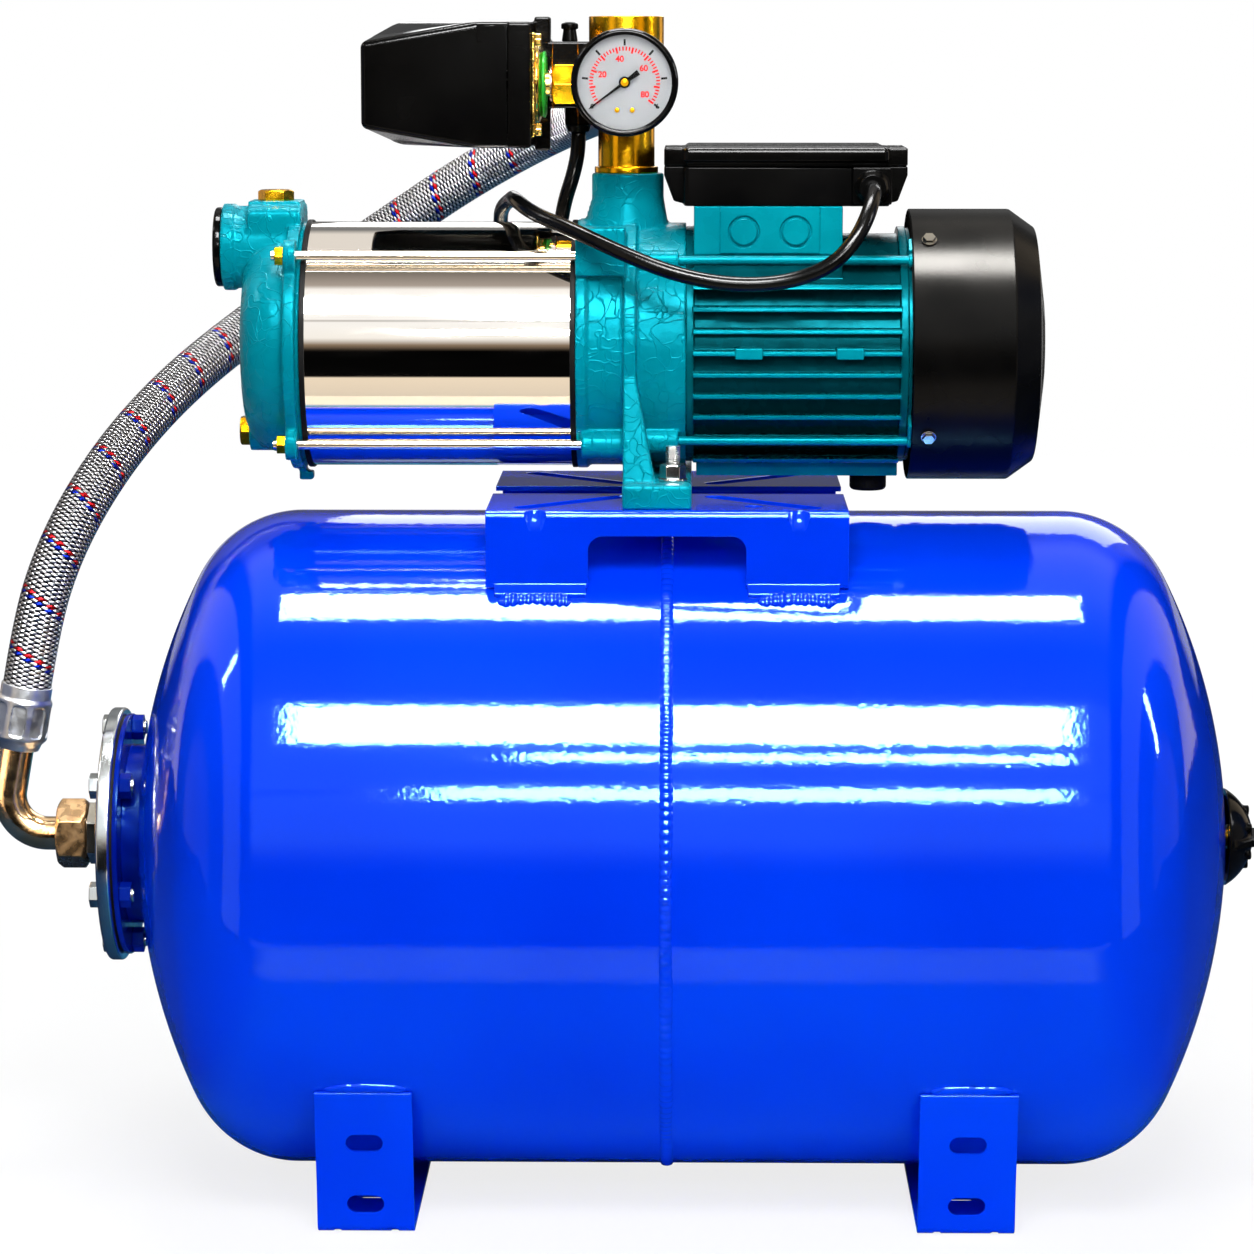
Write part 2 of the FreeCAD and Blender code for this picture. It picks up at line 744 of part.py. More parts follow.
def air_valve_cap():
    """Domed cap with one long grip fin and small round grip lugs."""
    seat = valve_seat_x + fit_gap + valve_cap_lift
    radius, height, wall = valve_cap_radius, valve_cap_height, valve_cap_wall
    sphere = (radius ** 2 + height ** 2) / (2 * height)

    def arc_point(start_x, ball, share, rise):
        angle = math.asin(min(1.0, radius / sphere)) * share
        return (start_x + rise - ball + ball * math.cos(angle), ball * math.sin(angle))

    inner_ball = sphere - wall
    inner_radius = math.sqrt(inner_ball ** 2 - (sphere - height) ** 2)
    half_inner = math.asin(inner_radius / inner_ball) / 2
    hub = valve_stem_radius + fit_gap + valve_cap_hub_wall
    centre = seat + height - sphere
    stem_room = valve_seat_x + valve_flange_thickness + valve_stem_length + 1.0
    dome = lathe([(seat, inner_radius), (seat, radius),
                  (arc_point(seat, sphere, 0.5, height), (seat + height, 0.0)),
                  (seat + height - wall, 0.0),
                  ((centre + inner_ball * math.cos(half_inner), inner_ball * math.sin(half_inner)),
                   (seat, inner_radius))], "x", 0, tank_axis_z)
    post = cylinder("x", seat + 1.4, seat + height - wall / 2, hub, 0, tank_axis_z)
    post = post.cut(cylinder("x", seat, stem_room, valve_stem_radius + fit_gap, 0, tank_axis_z))
    fin_z = tank_axis_z
    reach, tip = valve_fin_reach, valve_fin_tip_half_width
    fin = prism([(seat, -radius + 1), (seat + 9, -radius + 4), (seat + 20, -tip - 5), (seat + reach, -tip),
                 (seat + reach, tip), (seat + 20, tip + 5), (seat + 9, radius - 4), (seat, radius - 1)],
                "xy", fin_z - valve_fin_half_thickness, fin_z + valve_fin_half_thickness)
    ball = Part.makeSphere(sphere - wall / 2, V(centre, 0, tank_axis_z))
    fin = fin.cut(ball)
    knobs = []
    for k in range(valve_knob_count):
        angle = math.radians(30 + k * 360.0 / valve_knob_count)
        knobs.append(cylinder("x", seat + valve_knob_height - 3, seat + valve_knob_height + 2,
                              valve_knob_radius, valve_knob_circle * math.cos(angle),
                              tank_axis_z + valve_knob_circle * math.sin(angle)))
    return fuse([dome, post, fin] + knobs)


# Saddle and feet

def tank_surface_z(y):
    return tank_axis_z + math.sqrt(tank_radius ** 2 - y ** 2)


def saddle_half():
    """Front plate of the saddle: a bent sheet with slots, welded to the tank by its skirt."""
    t = sheet_thickness
    y_out, y_in = -saddle_half_width, -saddle_gap_half
    foot_z = tank_surface_z(y_out + t) + saddle_seat_gap
    section = prism([(y_out, foot_z), (y_out + t, foot_z), (y_out + t, saddle_top_z - t),
                     (y_in, saddle_top_z - t), (y_in, saddle_top_z), (y_out, saddle_top_z)],
                    "yz", -saddle_half_length, saddle_half_length)
    bend = [e for e in section.Edges if e.Length > 2 * saddle_half_length - 1
            and abs(e.CenterOfMass.y - y_out) < 0.1 and abs(e.CenterOfMass.z - saddle_top_z) < 0.1]
    section = section.makeFillet(saddle_bend, bend)
    window_top = saddle_top_z - window_top_drop
    window = block(-window_half_width, window_half_width, y_out - 1, y_out + t + 1, foot_z - 30, window_top)
    upper = [e for e in window.Edges if abs(e.CenterOfMass.z - window_top) < 0.1
             and abs(abs(e.CenterOfMass.x) - window_half_width) < 0.1]
    window = window.makeFillet(window_corner, upper)
    cuts = [window]
    tip_y = y_out - saddle_lip_reach
    root_z, tip_z = tank_surface_z(y_out + 1) + saddle_seat_gap, tank_surface_z(tip_y) + saddle_seat_gap
    lip = [(y_out + 1, root_z), (tip_y, tip_z), (tip_y, tip_z + saddle_lip_thickness),
           (y_out, foot_z + saddle_lip_thickness), (y_out + 1, foot_z + saddle_lip_thickness)]
    lip_start, lip_end = window_half_width + 1, saddle_half_length - saddle_lip_notch
    additions = [prism(lip, "yz", -lip_end, -lip_start), prism(lip, "yz", lip_start, lip_end)]
    for side in (-1, 1):
        inner = (side * saddle_slot_inner[0], -saddle_slot_inner[1])
        outer = (side * saddle_slot_outer[0], -saddle_slot_outer[1])
        cuts.append(slot_xy(inner, outer, saddle_slot_width, saddle_top_z - t - 1, saddle_top_z + 1))
        hollow, bulge = [Part.makeCylinder(radius, 2 * dimple_height, V(0, 0, -dimple_height), V(0, 0, 1))
                         for radius in (dimple_radius, dimple_radius + dimple_wall)]
        for shape in (hollow, bulge):
            shape.rotate(V(0, 0, 0), V(1, 0, 0), -20)
            shape.translate(V(side * dimple_x, y_out - dimple_radius + dimple_depth, saddle_top_z))
        room = block(side * dimple_x - 12, side * dimple_x + 12, y_out + t / 2, y_out + 14,
                     saddle_top_z - 20, saddle_top_z - t / 2)
        additions.append(bulge.common(room))
        cuts.append(hollow)
    cuts.append(cylinder("z", saddle_top_z - t - 1, saddle_top_z + 1, saddle_hole_radius,
                         saddle_hole_place[0], -saddle_hole_place[1]))
    cuts.append(cylinder("z", saddle_top_z - t - 1, saddle_top_z + 1, foot_bolt_radius + 0.5,
                         foot_bolt_x, -foot_bolt_y))
    return fuse([section] + additions).cut(cuts)


def offset_chain(points, distance):
    """Points of an open chain moved sideways to its left by a distance, with mitred corners."""
    moved = []
    for k, here in enumerate(points):
        before = points[k - 1] if k else None
        after = points[k + 1] if k + 1 < len(points) else None
        normals = []
        for a, b in ((before, here), (here, after)):
            if a is not None and b is not None:
                length = math.hypot(b[0] - a[0], b[1] - a[1])
                normals.append((-(b[1] - a[1]) / length, (b[0] - a[0]) / length))
        nx = sum(n[0] for n in normals) / len(normals)
        ny = sum(n[1] for n in normals) / len(normals)
        scale = distance / (nx * nx + ny * ny)
        moved.append((here[0] + nx * scale, here[1] + ny * scale))
    return moved


def tank_foot(centre_x):
    """Slotted strip bent to a U, welded to the tank by its two upper edges."""
    t = sheet_thickness
    top_y = math.sqrt(tank_radius ** 2 - (tank_axis_z - foot_top_z) ** 2) + t + 2 * saddle_seat_gap
    outer = [(-top_y, foot_top_z), (-foot_fold_y, foot_fold_z), (-foot_bottom_y, 0),
             (foot_bottom_y, 0), (foot_fold_y, foot_fold_z), (top_y, foot_top_z)]
    inner = offset_chain(outer, t)
    strip = prism(outer + inner[::-1], "yz", centre_x - foot_width / 2, centre_x + foot_width / 2)

    def corner(y, z):
        return [e for e in strip.Edges if abs(e.Length - foot_width) < 0.01
                and abs(abs(e.CenterOfMass.y) - abs(y)) < 0.01 and abs(e.CenterOfMass.z - z) < 0.01]

    strip = strip.makeFillet(foot_bend, corner(foot_bottom_y, 0))
    strip = strip.makeFillet(foot_bend - t, corner(*inner[2]))
    half_run = (foot_slot_length - foot_slot_width) / 2
    reach = top_y + 10
    cuts = []
    for z in (foot_slot_low_z, foot_slot_high_z):
        cuts.append(block(centre_x - half_run, centre_x + half_run, -reach, reach,
                          z - foot_slot_width / 2, z + foot_slot_width / 2))
        for end in (-half_run, half_run):
            cuts.append(cylinder("y", -reach, reach, foot_slot_width / 2, centre_x + end, z))
    for side in (-1, 1):
        y = side * anchor_slot_y
        cuts.append(slot_xy((centre_x - half_run, y), (centre_x + half_run, y), foot_slot_width, -1, t + 1))
        for nick in (-foot_nick_offset, foot_nick_offset):
            cuts.append(Part.makeCylinder(foot_nick_radius, 2 * foot_bend,
                                          V(centre_x + nick, side * (foot_bottom_y + foot_bend), 0),
                                          V(0, -side, 0)))
    return strip.cut(cuts)


def carried(route, first, last):
    """A hand-chosen centre line, moved so that its two ends lie at the given places."""
    start_shift, end_shift = V(*first) - V(*route[0]), V(*last) - V(*route[-1])
    moved = []
    for k, point in enumerate(route):
        share = k / (len(route) - 1.0)
        place = V(*point) + start_shift * (1 - share) + end_shift * share
        moved.append((place.x, place.y, place.z))
    return moved


# Hose fittings: the elbow is drawn back from the hose's lower end
hose_line = carried(hose_route, (boss_face_x - hose_start_reach, 0, tank_axis_z + hose_start_rise),
                    (outlet_x, hose_end_y, pump_axis_z + rear_port_rise))
hose_start = V(*hose_line[0])
hose_rise = V(*hose_line[1]) - hose_start
hose_rise.normalize()
hose_end = V(*hose_line[-1])
lean = math.atan2(hose_rise.x, hose_rise.z)
elbow_end_z = tank_axis_z + elbow_radius * (1 + math.sin(lean))
pipe_above_bend = (hose_start.z - elbow_end_z) / math.cos(lean)
elbow_end = hose_start - hose_rise * pipe_above_bend
elbow_centre = V(elbow_end.x + elbow_radius * math.cos(lean), 0, elbow_end.z - elbow_radius * math.sin(lean))


def elbow():
    """Bent pipe with a flared foot that the union nut pulls against the boss."""
    start = V(boss_face_x - fit_gap, 0, tank_axis_z)
    bend_start = V(elbow_centre.x, 0, tank_axis_z)
    half = (math.pi / 2 + lean) / 2
    middle = V(elbow_centre.x - elbow_radius * math.sin(half), 0, elbow_centre.z - elbow_radius * math.cos(half))
    pipe_top = hose_start - hose_rise * (ferrule_length / 2)
    path = Part.Wire([Part.makeLine(start, bend_start), Part.Arc(bend_start, middle, elbow_end).toShape(),
                      Part.makeLine(elbow_end, pipe_top)])

    def bar(radius):
        ring = Part.Wire(Part.makeCircle(radius, start, V(1, 0, 0)))
        return path.makePipeShell([ring], True, False)

    shell = bar(pipe_radius).cut(bar(pipe_radius - pipe_wall))
    flare = tube("x", boss_face_x - 3, boss_face_x - fit_gap, pipe_radius + 2.5, pipe_radius - pipe_wall,
                 0, tank_axis_z)
    return fuse([shell, flare])


def union_nut(along_y):
    """Hexagonal union nut; at the tank it lies along X, at the fitting along Y."""
    length, flats = union_nut_length, union_nut_flats
    nut = hexagon("x", -length, 0, flats, 0, 0, 30)
    chamfer = lathe([(-length, 0), (-length, flats / 2 - 0.5), (-length + 2.4, flats / math.sqrt(3) + 0.2),
                     (-2.4, flats / math.sqrt(3) + 0.2), (0, flats / 2 - 0.5), (0, 0)], "x")
    nut = nut.common(chamfer)
    nut = nut.cut([cylinder("x", -length - 1, 1, pipe_radius + fit_gap),
                   cylinder("x", -length + 4, 1, pipe_radius + 2.5 + fit_gap)])
    if along_y:
        nut.rotate(V(0, 0, 0), V(0, 0, 1), -90)
        nut.translate(V(outlet_x, rear_port_reach + fit_gap, hose_end.z))
    else:
        nut.translate(V(boss_face_x - fit_gap, 0, tank_axis_z))
    return nut


def ferrule(tip, direction, tail=False):
    """Crimped sleeve over the hose end, tapered at its pipe side; tip is the hose side.

    With a tail, the straight connecting pipe with its flared end is part of it.
    """
    length, waist = ferrule_length, ferrule_waist
    solid = lathe([(0, pipe_radius + 0.1), (0, waist), (4, waist + 1.2), (7, ferrule_radius),
                   (length - 9, ferrule_radius), (length - 7, hose_radius + 0.8),
                   (length, hose_radius + 0.8), (length, 0), (length - 1, 0),
                   (length - 1, pipe_radius + 0.1)], "x")
    flats = []
    for k in range(ferrule_flat_count):
        cutter = block(9, length - 11, -ferrule_flat_half_width, ferrule_flat_half_width,
                       ferrule_radius - ferrule_flat_depth, ferrule_radius + 5)
        cutter = cutter.makeFillet(ferrule_flat_corner, upright_edges(cutter))
        cutter.rotate(V(0, 0, 0), V(1, 0, 0), k * 360.0 / ferrule_flat_count)
        flats.append(cutter)
    solid = solid.cut(flats)
    if tail:
        pipe_end = (rear_port_reach + fit_gap) - (hose_end.y - length)
        pipe = tube("x", pipe_end, length / 2, pipe_radius, pipe_radius - pipe_wall)
        flare = tube("x", pipe_end, pipe_end + 3, pipe_radius + 2.5, pipe_radius - pipe_wall)
        collar = tube("x", 0, length / 2, pipe_radius + 0.3, pipe_radius - 0.2)
        solid = fuse([solid, pipe, flare, collar])
    solid.Placement = FreeCAD.Placement(tip - direction * length, FreeCAD.Rotation(V(1, 0, 0), direction))
    return solid


# Pump
stud_places = corners_at_45(stud_circle, 0, pump_axis_z)
cover_back_x = cover_flange_x + cover_flange_thickness
register_end_x = cover_back_x + cover_register_length
sleeve_start_x = register_end_x + gasket_thickness
sleeve_end_x = bracket_face_x - gasket_thickness
inlet_z = pump_axis_z + inlet_axis_rise
fill_pad_z = inlet_z + inlet_block_rise + fill_pad_height


def suction_cover():
    """Cast suction cover: dome, lugged flange, inlet barrel with fill pad, and drain boss."""
    axis = (0, pump_axis_z)
    flange = cylinder("x", cover_flange_x, cover_back_x, cover_flange_radius, *axis)
    lugs = [cylinder("x", cover_flange_x, cover_back_x, lug_radius, y, z) for y, z in stud_places]
    bars = []
    for angle in (45, 135):
        bar = block(cover_flange_x, cover_back_x, -stud_circle, stud_circle, -lug_radius, lug_radius)
        bar.rotate(V(0, 0, 0), V(1, 0, 0), angle)
        bar.translate(V(0, 0, pump_axis_z))
        bars.append(bar)
    register = cylinder("x", cover_back_x, register_end_x, sleeve_radius - sleeve_wall, *axis)
    rim, bend = cover_dome_radius, cover_dome_bend
    bend_mid = (cover_dome_x + bend * (1 - math.cos(math.pi / 4)), rim - bend * (1 - math.sin(math.pi / 4)))
    dome = lathe([(cover_flange_x + 1, 0), (cover_flange_x + 1, rim), (cover_dome_x + bend, rim),
                  (bend_mid, (cover_dome_x, rim - bend)), (cover_dome_x, 0)], "x", *axis)
    barrel = cylinder("x", inlet_face_x, cover_back_x, inlet_radius, 0, inlet_z)
    collar = cylinder("x", inlet_face_x, inlet_face_x + inlet_collar_length, inlet_collar_radius, 0, inlet_z)
    body = block(inlet_block_x, cover_back_x, -inlet_block_half_width, inlet_block_half_width,
                 inlet_z, inlet_z + inlet_block_rise)
    body = body.makeFillet(6.0, [e for e in body.Edges if abs(e.CenterOfMass.z - inlet_z - inlet_block_rise) < 0.1
                                 and abs(e.CenterOfMass.y) > 1])
    pad = block(inlet_block_x, cover_back_x - 1, -fill_pad_half_width, fill_pad_half_width,
                inlet_z + inlet_block_rise - 1, fill_pad_z)
    drain_z = pump_axis_z - drain_drop
    boss = cylinder("x", drain_boss_x, cover_flange_x, drain_boss_radius, 0, drain_z)
    tab_z = pump_axis_z - cover_tab_drop
    tab = block(cover_back_x - 4, register_end_x + 1.5, -5, 5, tab_z, tab_z + 5)
    tab_root = block(cover_back_x - 4, cover_back_x, -5, 5, tab_z, pump_axis_z - cover_flange_radius + 3)
    solid = fuse([flange] + lugs + bars + [register, dome, barrel, collar, body, pad, boss, tab, tab_root])
    hollow = [cylinder("x", cover_dome_x + cover_wall, register_end_x + 1, rim - bend + 6, *axis),
              cylinder("x", inlet_face_x - 1, inlet_face_x + port_thread_length, port_bore, 0, inlet_z),
              cylinder("x", inlet_face_x, fill_plug_x + 8, port_bore - 2.5, 0, inlet_z),
              cylinder("z", pump_axis_z + 20, inlet_z, 11.0, fill_plug_x, 0),
              cylinder("z", inlet_z, fill_pad_z + 1, fill_plug_stem + bolt_hole_gap, fill_plug_x, 0),
              cylinder("x", cover_dome_x - 1, drain_boss_x, drain_boss_radius, 0, drain_z),
              cylinder("x", drain_boss_x - 1, cover_flange_x + 1, drain_plug_stem + bolt_hole_gap, 0, drain_z)]
    holes = [cylinder("x", cover_flange_x - 1, cover_back_x + 1, stud_radius + bolt_hole_gap, y, z)
             for y, z in stud_places]
    return solid.cut(hollow + holes)


def suction_cap():
    """Push-in transport cap that keeps dirt out of the suction port."""
    face = inlet_face_x - fit_gap
    out = face - suction_cap_thickness
    rim = suction_cap_radius
    return lathe([(out, 0), (out, rim - 1.5), ((out + 0.45, rim - 0.45), (out + 1.5, rim)), (face, rim),
                  (face, port_bore - fit_gap), (face + suction_cap_plug, port_bore - fit_gap - 0.4),
                  (face + suction_cap_plug, port_bore - 3), (face + 1, port_bore - 3), (face + 1, 0)],
                 "x", 0, inlet_z)


def fill_plug():
    head = hexagon("z", fill_pad_z, fill_pad_z + fill_plug_head, fill_plug_flats, fill_plug_x, 0, 0)
    top = lathe([(fill_pad_z, 0), (fill_pad_z, fill_plug_flats), (fill_pad_z + fill_plug_head - 1.2,
                 fill_plug_flats / math.sqrt(3) + 0.1), (fill_pad_z + fill_plug_head, fill_plug_flats / 2 - 0.4),
                 (fill_pad_z + fill_plug_head, 0)], "z", fill_plug_x, 0)
    return fuse([head.common(top), cylinder("z", fill_pad_z - 14, fill_pad_z, fill_plug_stem, fill_plug_x, 0)])


def drain_plug():
    z = pump_axis_z - drain_drop
    x = drain_boss_x
    head = hexagon("x", x - drain_plug_head, x, drain_plug_flats, 0, z, 0)
    top = lathe([(x, 0), (x, drain_plug_flats), (x - drain_plug_head + 1.2, drain_plug_flats / math.sqrt(3) + 0.1),
                 (x - drain_plug_head, drain_plug_flats / 2 - 0.4), (x - drain_plug_head, 0)], "x", 0, z)
    return fuse([head.common(top), cylinder("x", x, x + 9, drain_plug_stem, 0, z)])


def gaskets():
    bore = sleeve_radius - sleeve_wall - 1.5
    return [tube("x", register_end_x, sleeve_start_x, gasket_radius, bore, 0, pump_axis_z),
            tube("x", sleeve_end_x, bracket_face_x, gasket_radius, bore, 0, pump_axis_z)]


def tie_studs():
    start = cover_flange_x - stud_nut_height - stud_proud
    return [cylinder("x", start, bracket_rib_x - 4, stud_radius, y, z) for y, z in stud_places]


def tie_stud_nuts():
    nuts = []
    for y, z in stud_places:
        nut = hexagon("x", cover_flange_x - stud_nut_height, cover_flange_x, stud_nut_flats, y, z, 0)
        nuts.append(nut.cut(cylinder("x", cover_flange_x - 20, cover_flange_x + 1,
                                     stud_radius + bolt_hole_gap, y, z)))
    return nuts


rod_places = corners_at_45(tie_rod_circle, 0, pump_axis_z)
bracket_end_x = bracket_face_x + bracket_length
outlet_top_z = pump_axis_z + outlet_height


def pump_bracket():
    """Lantern casting between pump and motor, with the outlet above and the foot below."""
    axis = (0, pump_axis_z)
    drum = cylinder("x", bracket_face_x, bracket_end_x, bracket_drum_radius, *axis)
    rim = cylinder("x", bracket_face_x, bracket_face_x + bracket_rim_length, bracket_rim_radius, *axis)
    rib = cylinder("x", bracket_rib_x, bracket_rib_x + bracket_rib_width, bracket_rib_radius, *axis)
    solids = [drum, rim, rib]
    lug_end = bracket_rib_x + 1
    for y, z in stud_places:
        if z > pump_axis_z:
            side = 1 if y > 0 else -1
            y0, y1 = sorted((y - side * 18, y + side * lug_radius))
            solids.append(block(bracket_face_x, lug_end, y0, y1, z - 10.5, z + 16))
        else:
            solids.append(cylinder("x", bracket_face_x + 3, lug_end, lug_radius - 1.2, y, z))
    for y, z in rod_places:
        radius = tie_rod_boss if z > pump_axis_z else tie_rod_low_boss
        solids.append(cylinder("x", bracket_rib_x, bracket_end_x - 4, radius, y, z))
    solids.append(cylinder("z", pump_axis_z, outlet_top_z, outlet_radius, outlet_x, 0))
    solids.append(cone("z", pump_axis_z + 50, outlet_top_z - 14, outlet_flare + 2, outlet_radius, outlet_x, 0))
    foot_top = saddle_top_z + pump_foot_thickness
    foot = block(pump_foot_x, pump_foot_x + pump_foot_width, -pump_foot_half_length, pump_foot_half_length,
                 saddle_top_z, foot_top)
    foot = foot.makeFillet(pump_foot_edge, [e for e in foot.Edges if abs(e.CenterOfMass.z - foot_top) < 0.1
                                            or abs(e.CenterOfMass.z - (foot_top + saddle_top_z) / 2) < 0.1])
    web_top = pump_axis_z - web_top_drop
    spread = bracket_rib_radius + web_spread
    plate = prism([(-spread, foot_top - 1), (-bracket_rib_radius, web_top), (bracket_rib_radius, web_top),
                   (spread, foot_top - 1)], "yz", bracket_rib_x, bracket_rib_x + bracket_rib_width)
    gusset = prism([(bracket_rib_x, web_top), (bracket_rib_x + bracket_rib_width, web_top),
                    (bracket_rib_x + web_foot_width, foot_top - 1), (bracket_rib_x, foot_top - 1)],
                   "xz", -spread - 1, spread + 1)
    wings = prism([(-spread, foot_top - 1), (-bracket_rib_radius, web_top), (-bracket_rib_radius + 8, web_top),
                   (-spread + 14, foot_top - 1)], "yz", bracket_rib_x, bracket_rib_x + web_foot_width)
    far_wings = wings.mirror(V(0, 0, 0), V(0, 1, 0))
    solids += [foot, plate, gusset.common(wings), gusset.common(far_wings)]
    casting = fuse(solids)
    wall_end = bracket_wall_x + bracket_wall_thickness
    cavity = bracket_cavity_radius
    hub = cylinder("x", wall_end - 1, front_bearing_x + bearing_width, bearing_hub_radius, *axis)
    cuts = [cylinder("x", bracket_face_x - 1, bracket_wall_x, cavity, *axis),
            cylinder("x", wall_end, bracket_end_x + 1, cavity, *axis).cut(hub),
            cylinder("x", bracket_wall_x - 1, wall_end + 1, bracket_seal_bore, *axis),
            cylinder("x", wall_end - 1, bracket_end_x + 1, bracket_seal_bore, *axis),
            cylinder("x", front_bearing_x, bracket_end_x + 1, bearing_radius, *axis),
            cylinder("z", outlet_top_z - port_thread_length, outlet_top_z + 1, port_bore, outlet_x, 0),
            cylinder("z", pump_axis_z + 20, outlet_top_z, 9.0, bracket_wall_x - 8, 0),
            cylinder("z", outlet_top_z - port_thread_length - 8, outlet_top_z, port_bore - 2.5, outlet_x, 0)]
    for y, z in stud_places:
        cuts.append(cylinder("x", bracket_face_x - 1, bracket_rib_x - 3, stud_radius + bolt_hole_gap, y, z))
    for y, z in rod_places:
        cuts.append(cylinder("x", bracket_end_x - 18, bracket_end_x + 1, tie_rod_radius + bolt_hole_gap, y, z))
    for y in (-foot_bolt_y, foot_bolt_y):
        cuts.append(cylinder("z", saddle_top_z - 1, foot_top + 1, foot_bolt_radius + 0.5, foot_bolt_x, y))
    return casting.cut(cuts)


def foot_bolts():
    """Bolts pushed up through the saddle's slots."""
    under = saddle_top_z - sheet_thickness
    top = saddle_top_z + pump_foot_thickness + foot_washer_thickness + foot_bolt_proud
    bolts = []
    for y in (-foot_bolt_y, foot_bolt_y):
        head = hexagon("z", under - foot_bolt_head, under, foot_bolt_flats, foot_bolt_x, y, 0)
        bolts.append(fuse([head, cylinder("z", under, top, foot_bolt_radius, foot_bolt_x, y)]))
    return bolts


def foot_nuts():
    """Washer and hexagon nut on each foot bolt."""
    seat = saddle_top_z + pump_foot_thickness
    base = seat + foot_washer_thickness
    pieces = []
    for y in (-foot_bolt_y, foot_bolt_y):
        bore = foot_bolt_radius + bolt_hole_gap
        pieces.append(tube("z", seat, base, foot_washer_radius, bore, foot_bolt_x, y))
        nut = hexagon("z", base, base + foot_nut_height, foot_bolt_flats, foot_bolt_x, y, 0)
        crown = lathe([(base, 0), (base, foot_bolt_flats), (base + foot_nut_height - 1.0,
                       foot_bolt_flats / math.sqrt(3) + 0.1), (base + foot_nut_height, foot_bolt_flats / 2 - 0.3),
                       (base + foot_nut_height, 0)], "z", foot_bolt_x, y)
        nut = nut.common(crown)
        pieces.append(nut.cut(cylinder("z", base - 1, base + foot_nut_height + 1, bore, foot_bolt_x, y)))
    return pieces


# Hydraulic stages
stage_pitch = (sleeve_end_x - sleeve_start_x - 2 * fit_gap) / stage_count


def stage_x(k):
    return sleeve_start_x + fit_gap + k * stage_pitch


def impellers():
    """Closed radial impellers: back plate, vanes and front shroud with an eye."""
    wheels = []
    for k in range(stage_count):
        start = stage_x(k) + impeller_start
        end = start + impeller_width
        plate = cylinder("x", end - impeller_plate, end, impeller_radius, 0, pump_axis_z)
        shroud = tube("x", start, start + impeller_plate, impeller_radius, impeller_eye, 0, pump_axis_z)
        hub = cylinder("x", start, end + 3, impeller_hub, 0, pump_axis_z)
        vanes = []
        for n in range(impeller_vanes):
            bend = Part.Arc(V(start + 1, impeller_hub - 1, 0), V(start + 1, impeller_radius * 0.55, 9),
                            V(start + 1, impeller_radius * 0.86, 26)).toShape()
            inner = Part.Arc(V(start + 1, impeller_hub - 1, 1.8), V(start + 1, impeller_radius * 0.55 - 0.8, 10.7),
                             V(start + 1, impeller_radius * 0.86 - 1.2, 27.5)).toShape()
            ends = [Part.makeLine(bend.Vertexes[0].Point, inner.Vertexes[0].Point),
                    Part.makeLine(bend.Vertexes[-1].Point, inner.Vertexes[-1].Point)]
            vane = Part.Face(Part.Wire(Part.__sortEdges__([bend, inner] + ends)))
            vane = vane.extrude(V(impeller_width - 2, 0, 0))
            vane.rotate(V(0, 0, 0), V(1, 0, 0), n * 360.0 / impeller_vanes)
            vane.translate(V(0, 0, pump_axis_z))
            vanes.append(vane)
        wheel = fuse([plate, shroud, hub] + vanes)
        wheels.append(wheel.cut(cylinder("x", start - 5, end + 5, pump_shaft_radius, 0, pump_axis_z)))
    return wheels


def diffusers():
    """Stage casings stacked inside the sleeve."""
    cups = []
    outer = sleeve_radius - sleeve_wall - diffuser_gap
    for k in range(stage_count):
        start = stage_x(k)
        end = start + stage_pitch
        wall = tube("x", start, end, outer, outer - diffuser_wall, 0, pump_axis_z)
        floor = tube("x", end - 6, end - 4, outer - 0.5, diffuser_bore, 0, pump_axis_z)
        cups.append(fuse([wall, floor]))
    return cups


def pump_shaft():
    step = shaft_step_x
    return lathe([(shaft_start_x, 0), (shaft_start_x, pump_shaft_radius), (step, pump_shaft_radius),
                  (step, motor_shaft_radius), (rear_bearing_x + bearing_width + 2, motor_shaft_radius),
                  (rear_bearing_x + bearing_width + 2, fan_shaft_radius), (shaft_end_x, fan_shaft_radius),
                  (shaft_end_x, 0)], "x", 0, pump_axis_z)


def mechanical_seal():
    """Rotating head of the shaft seal, carried by the shaft."""
    face = bracket_wall_x - fit_gap
    start = face - seal_length
    return lathe([(start, pump_shaft_radius), (start, seal_radius), (face - 5, seal_radius),
                  (face - 5, seal_radius - 2), (face, seal_radius - 2), (face, pump_shaft_radius)],
                 "x", 0, pump_axis_z)


def ball_bearings():
    """Sealed ball bearings; the shaft runs in their bores."""
    rings = []
    for start in (front_bearing_x, rear_bearing_x):
        rings.append(tube("x", start, start + bearing_width, bearing_radius, motor_shaft_radius + running_gap,
                          0, pump_axis_z))
    return rings


# Motor

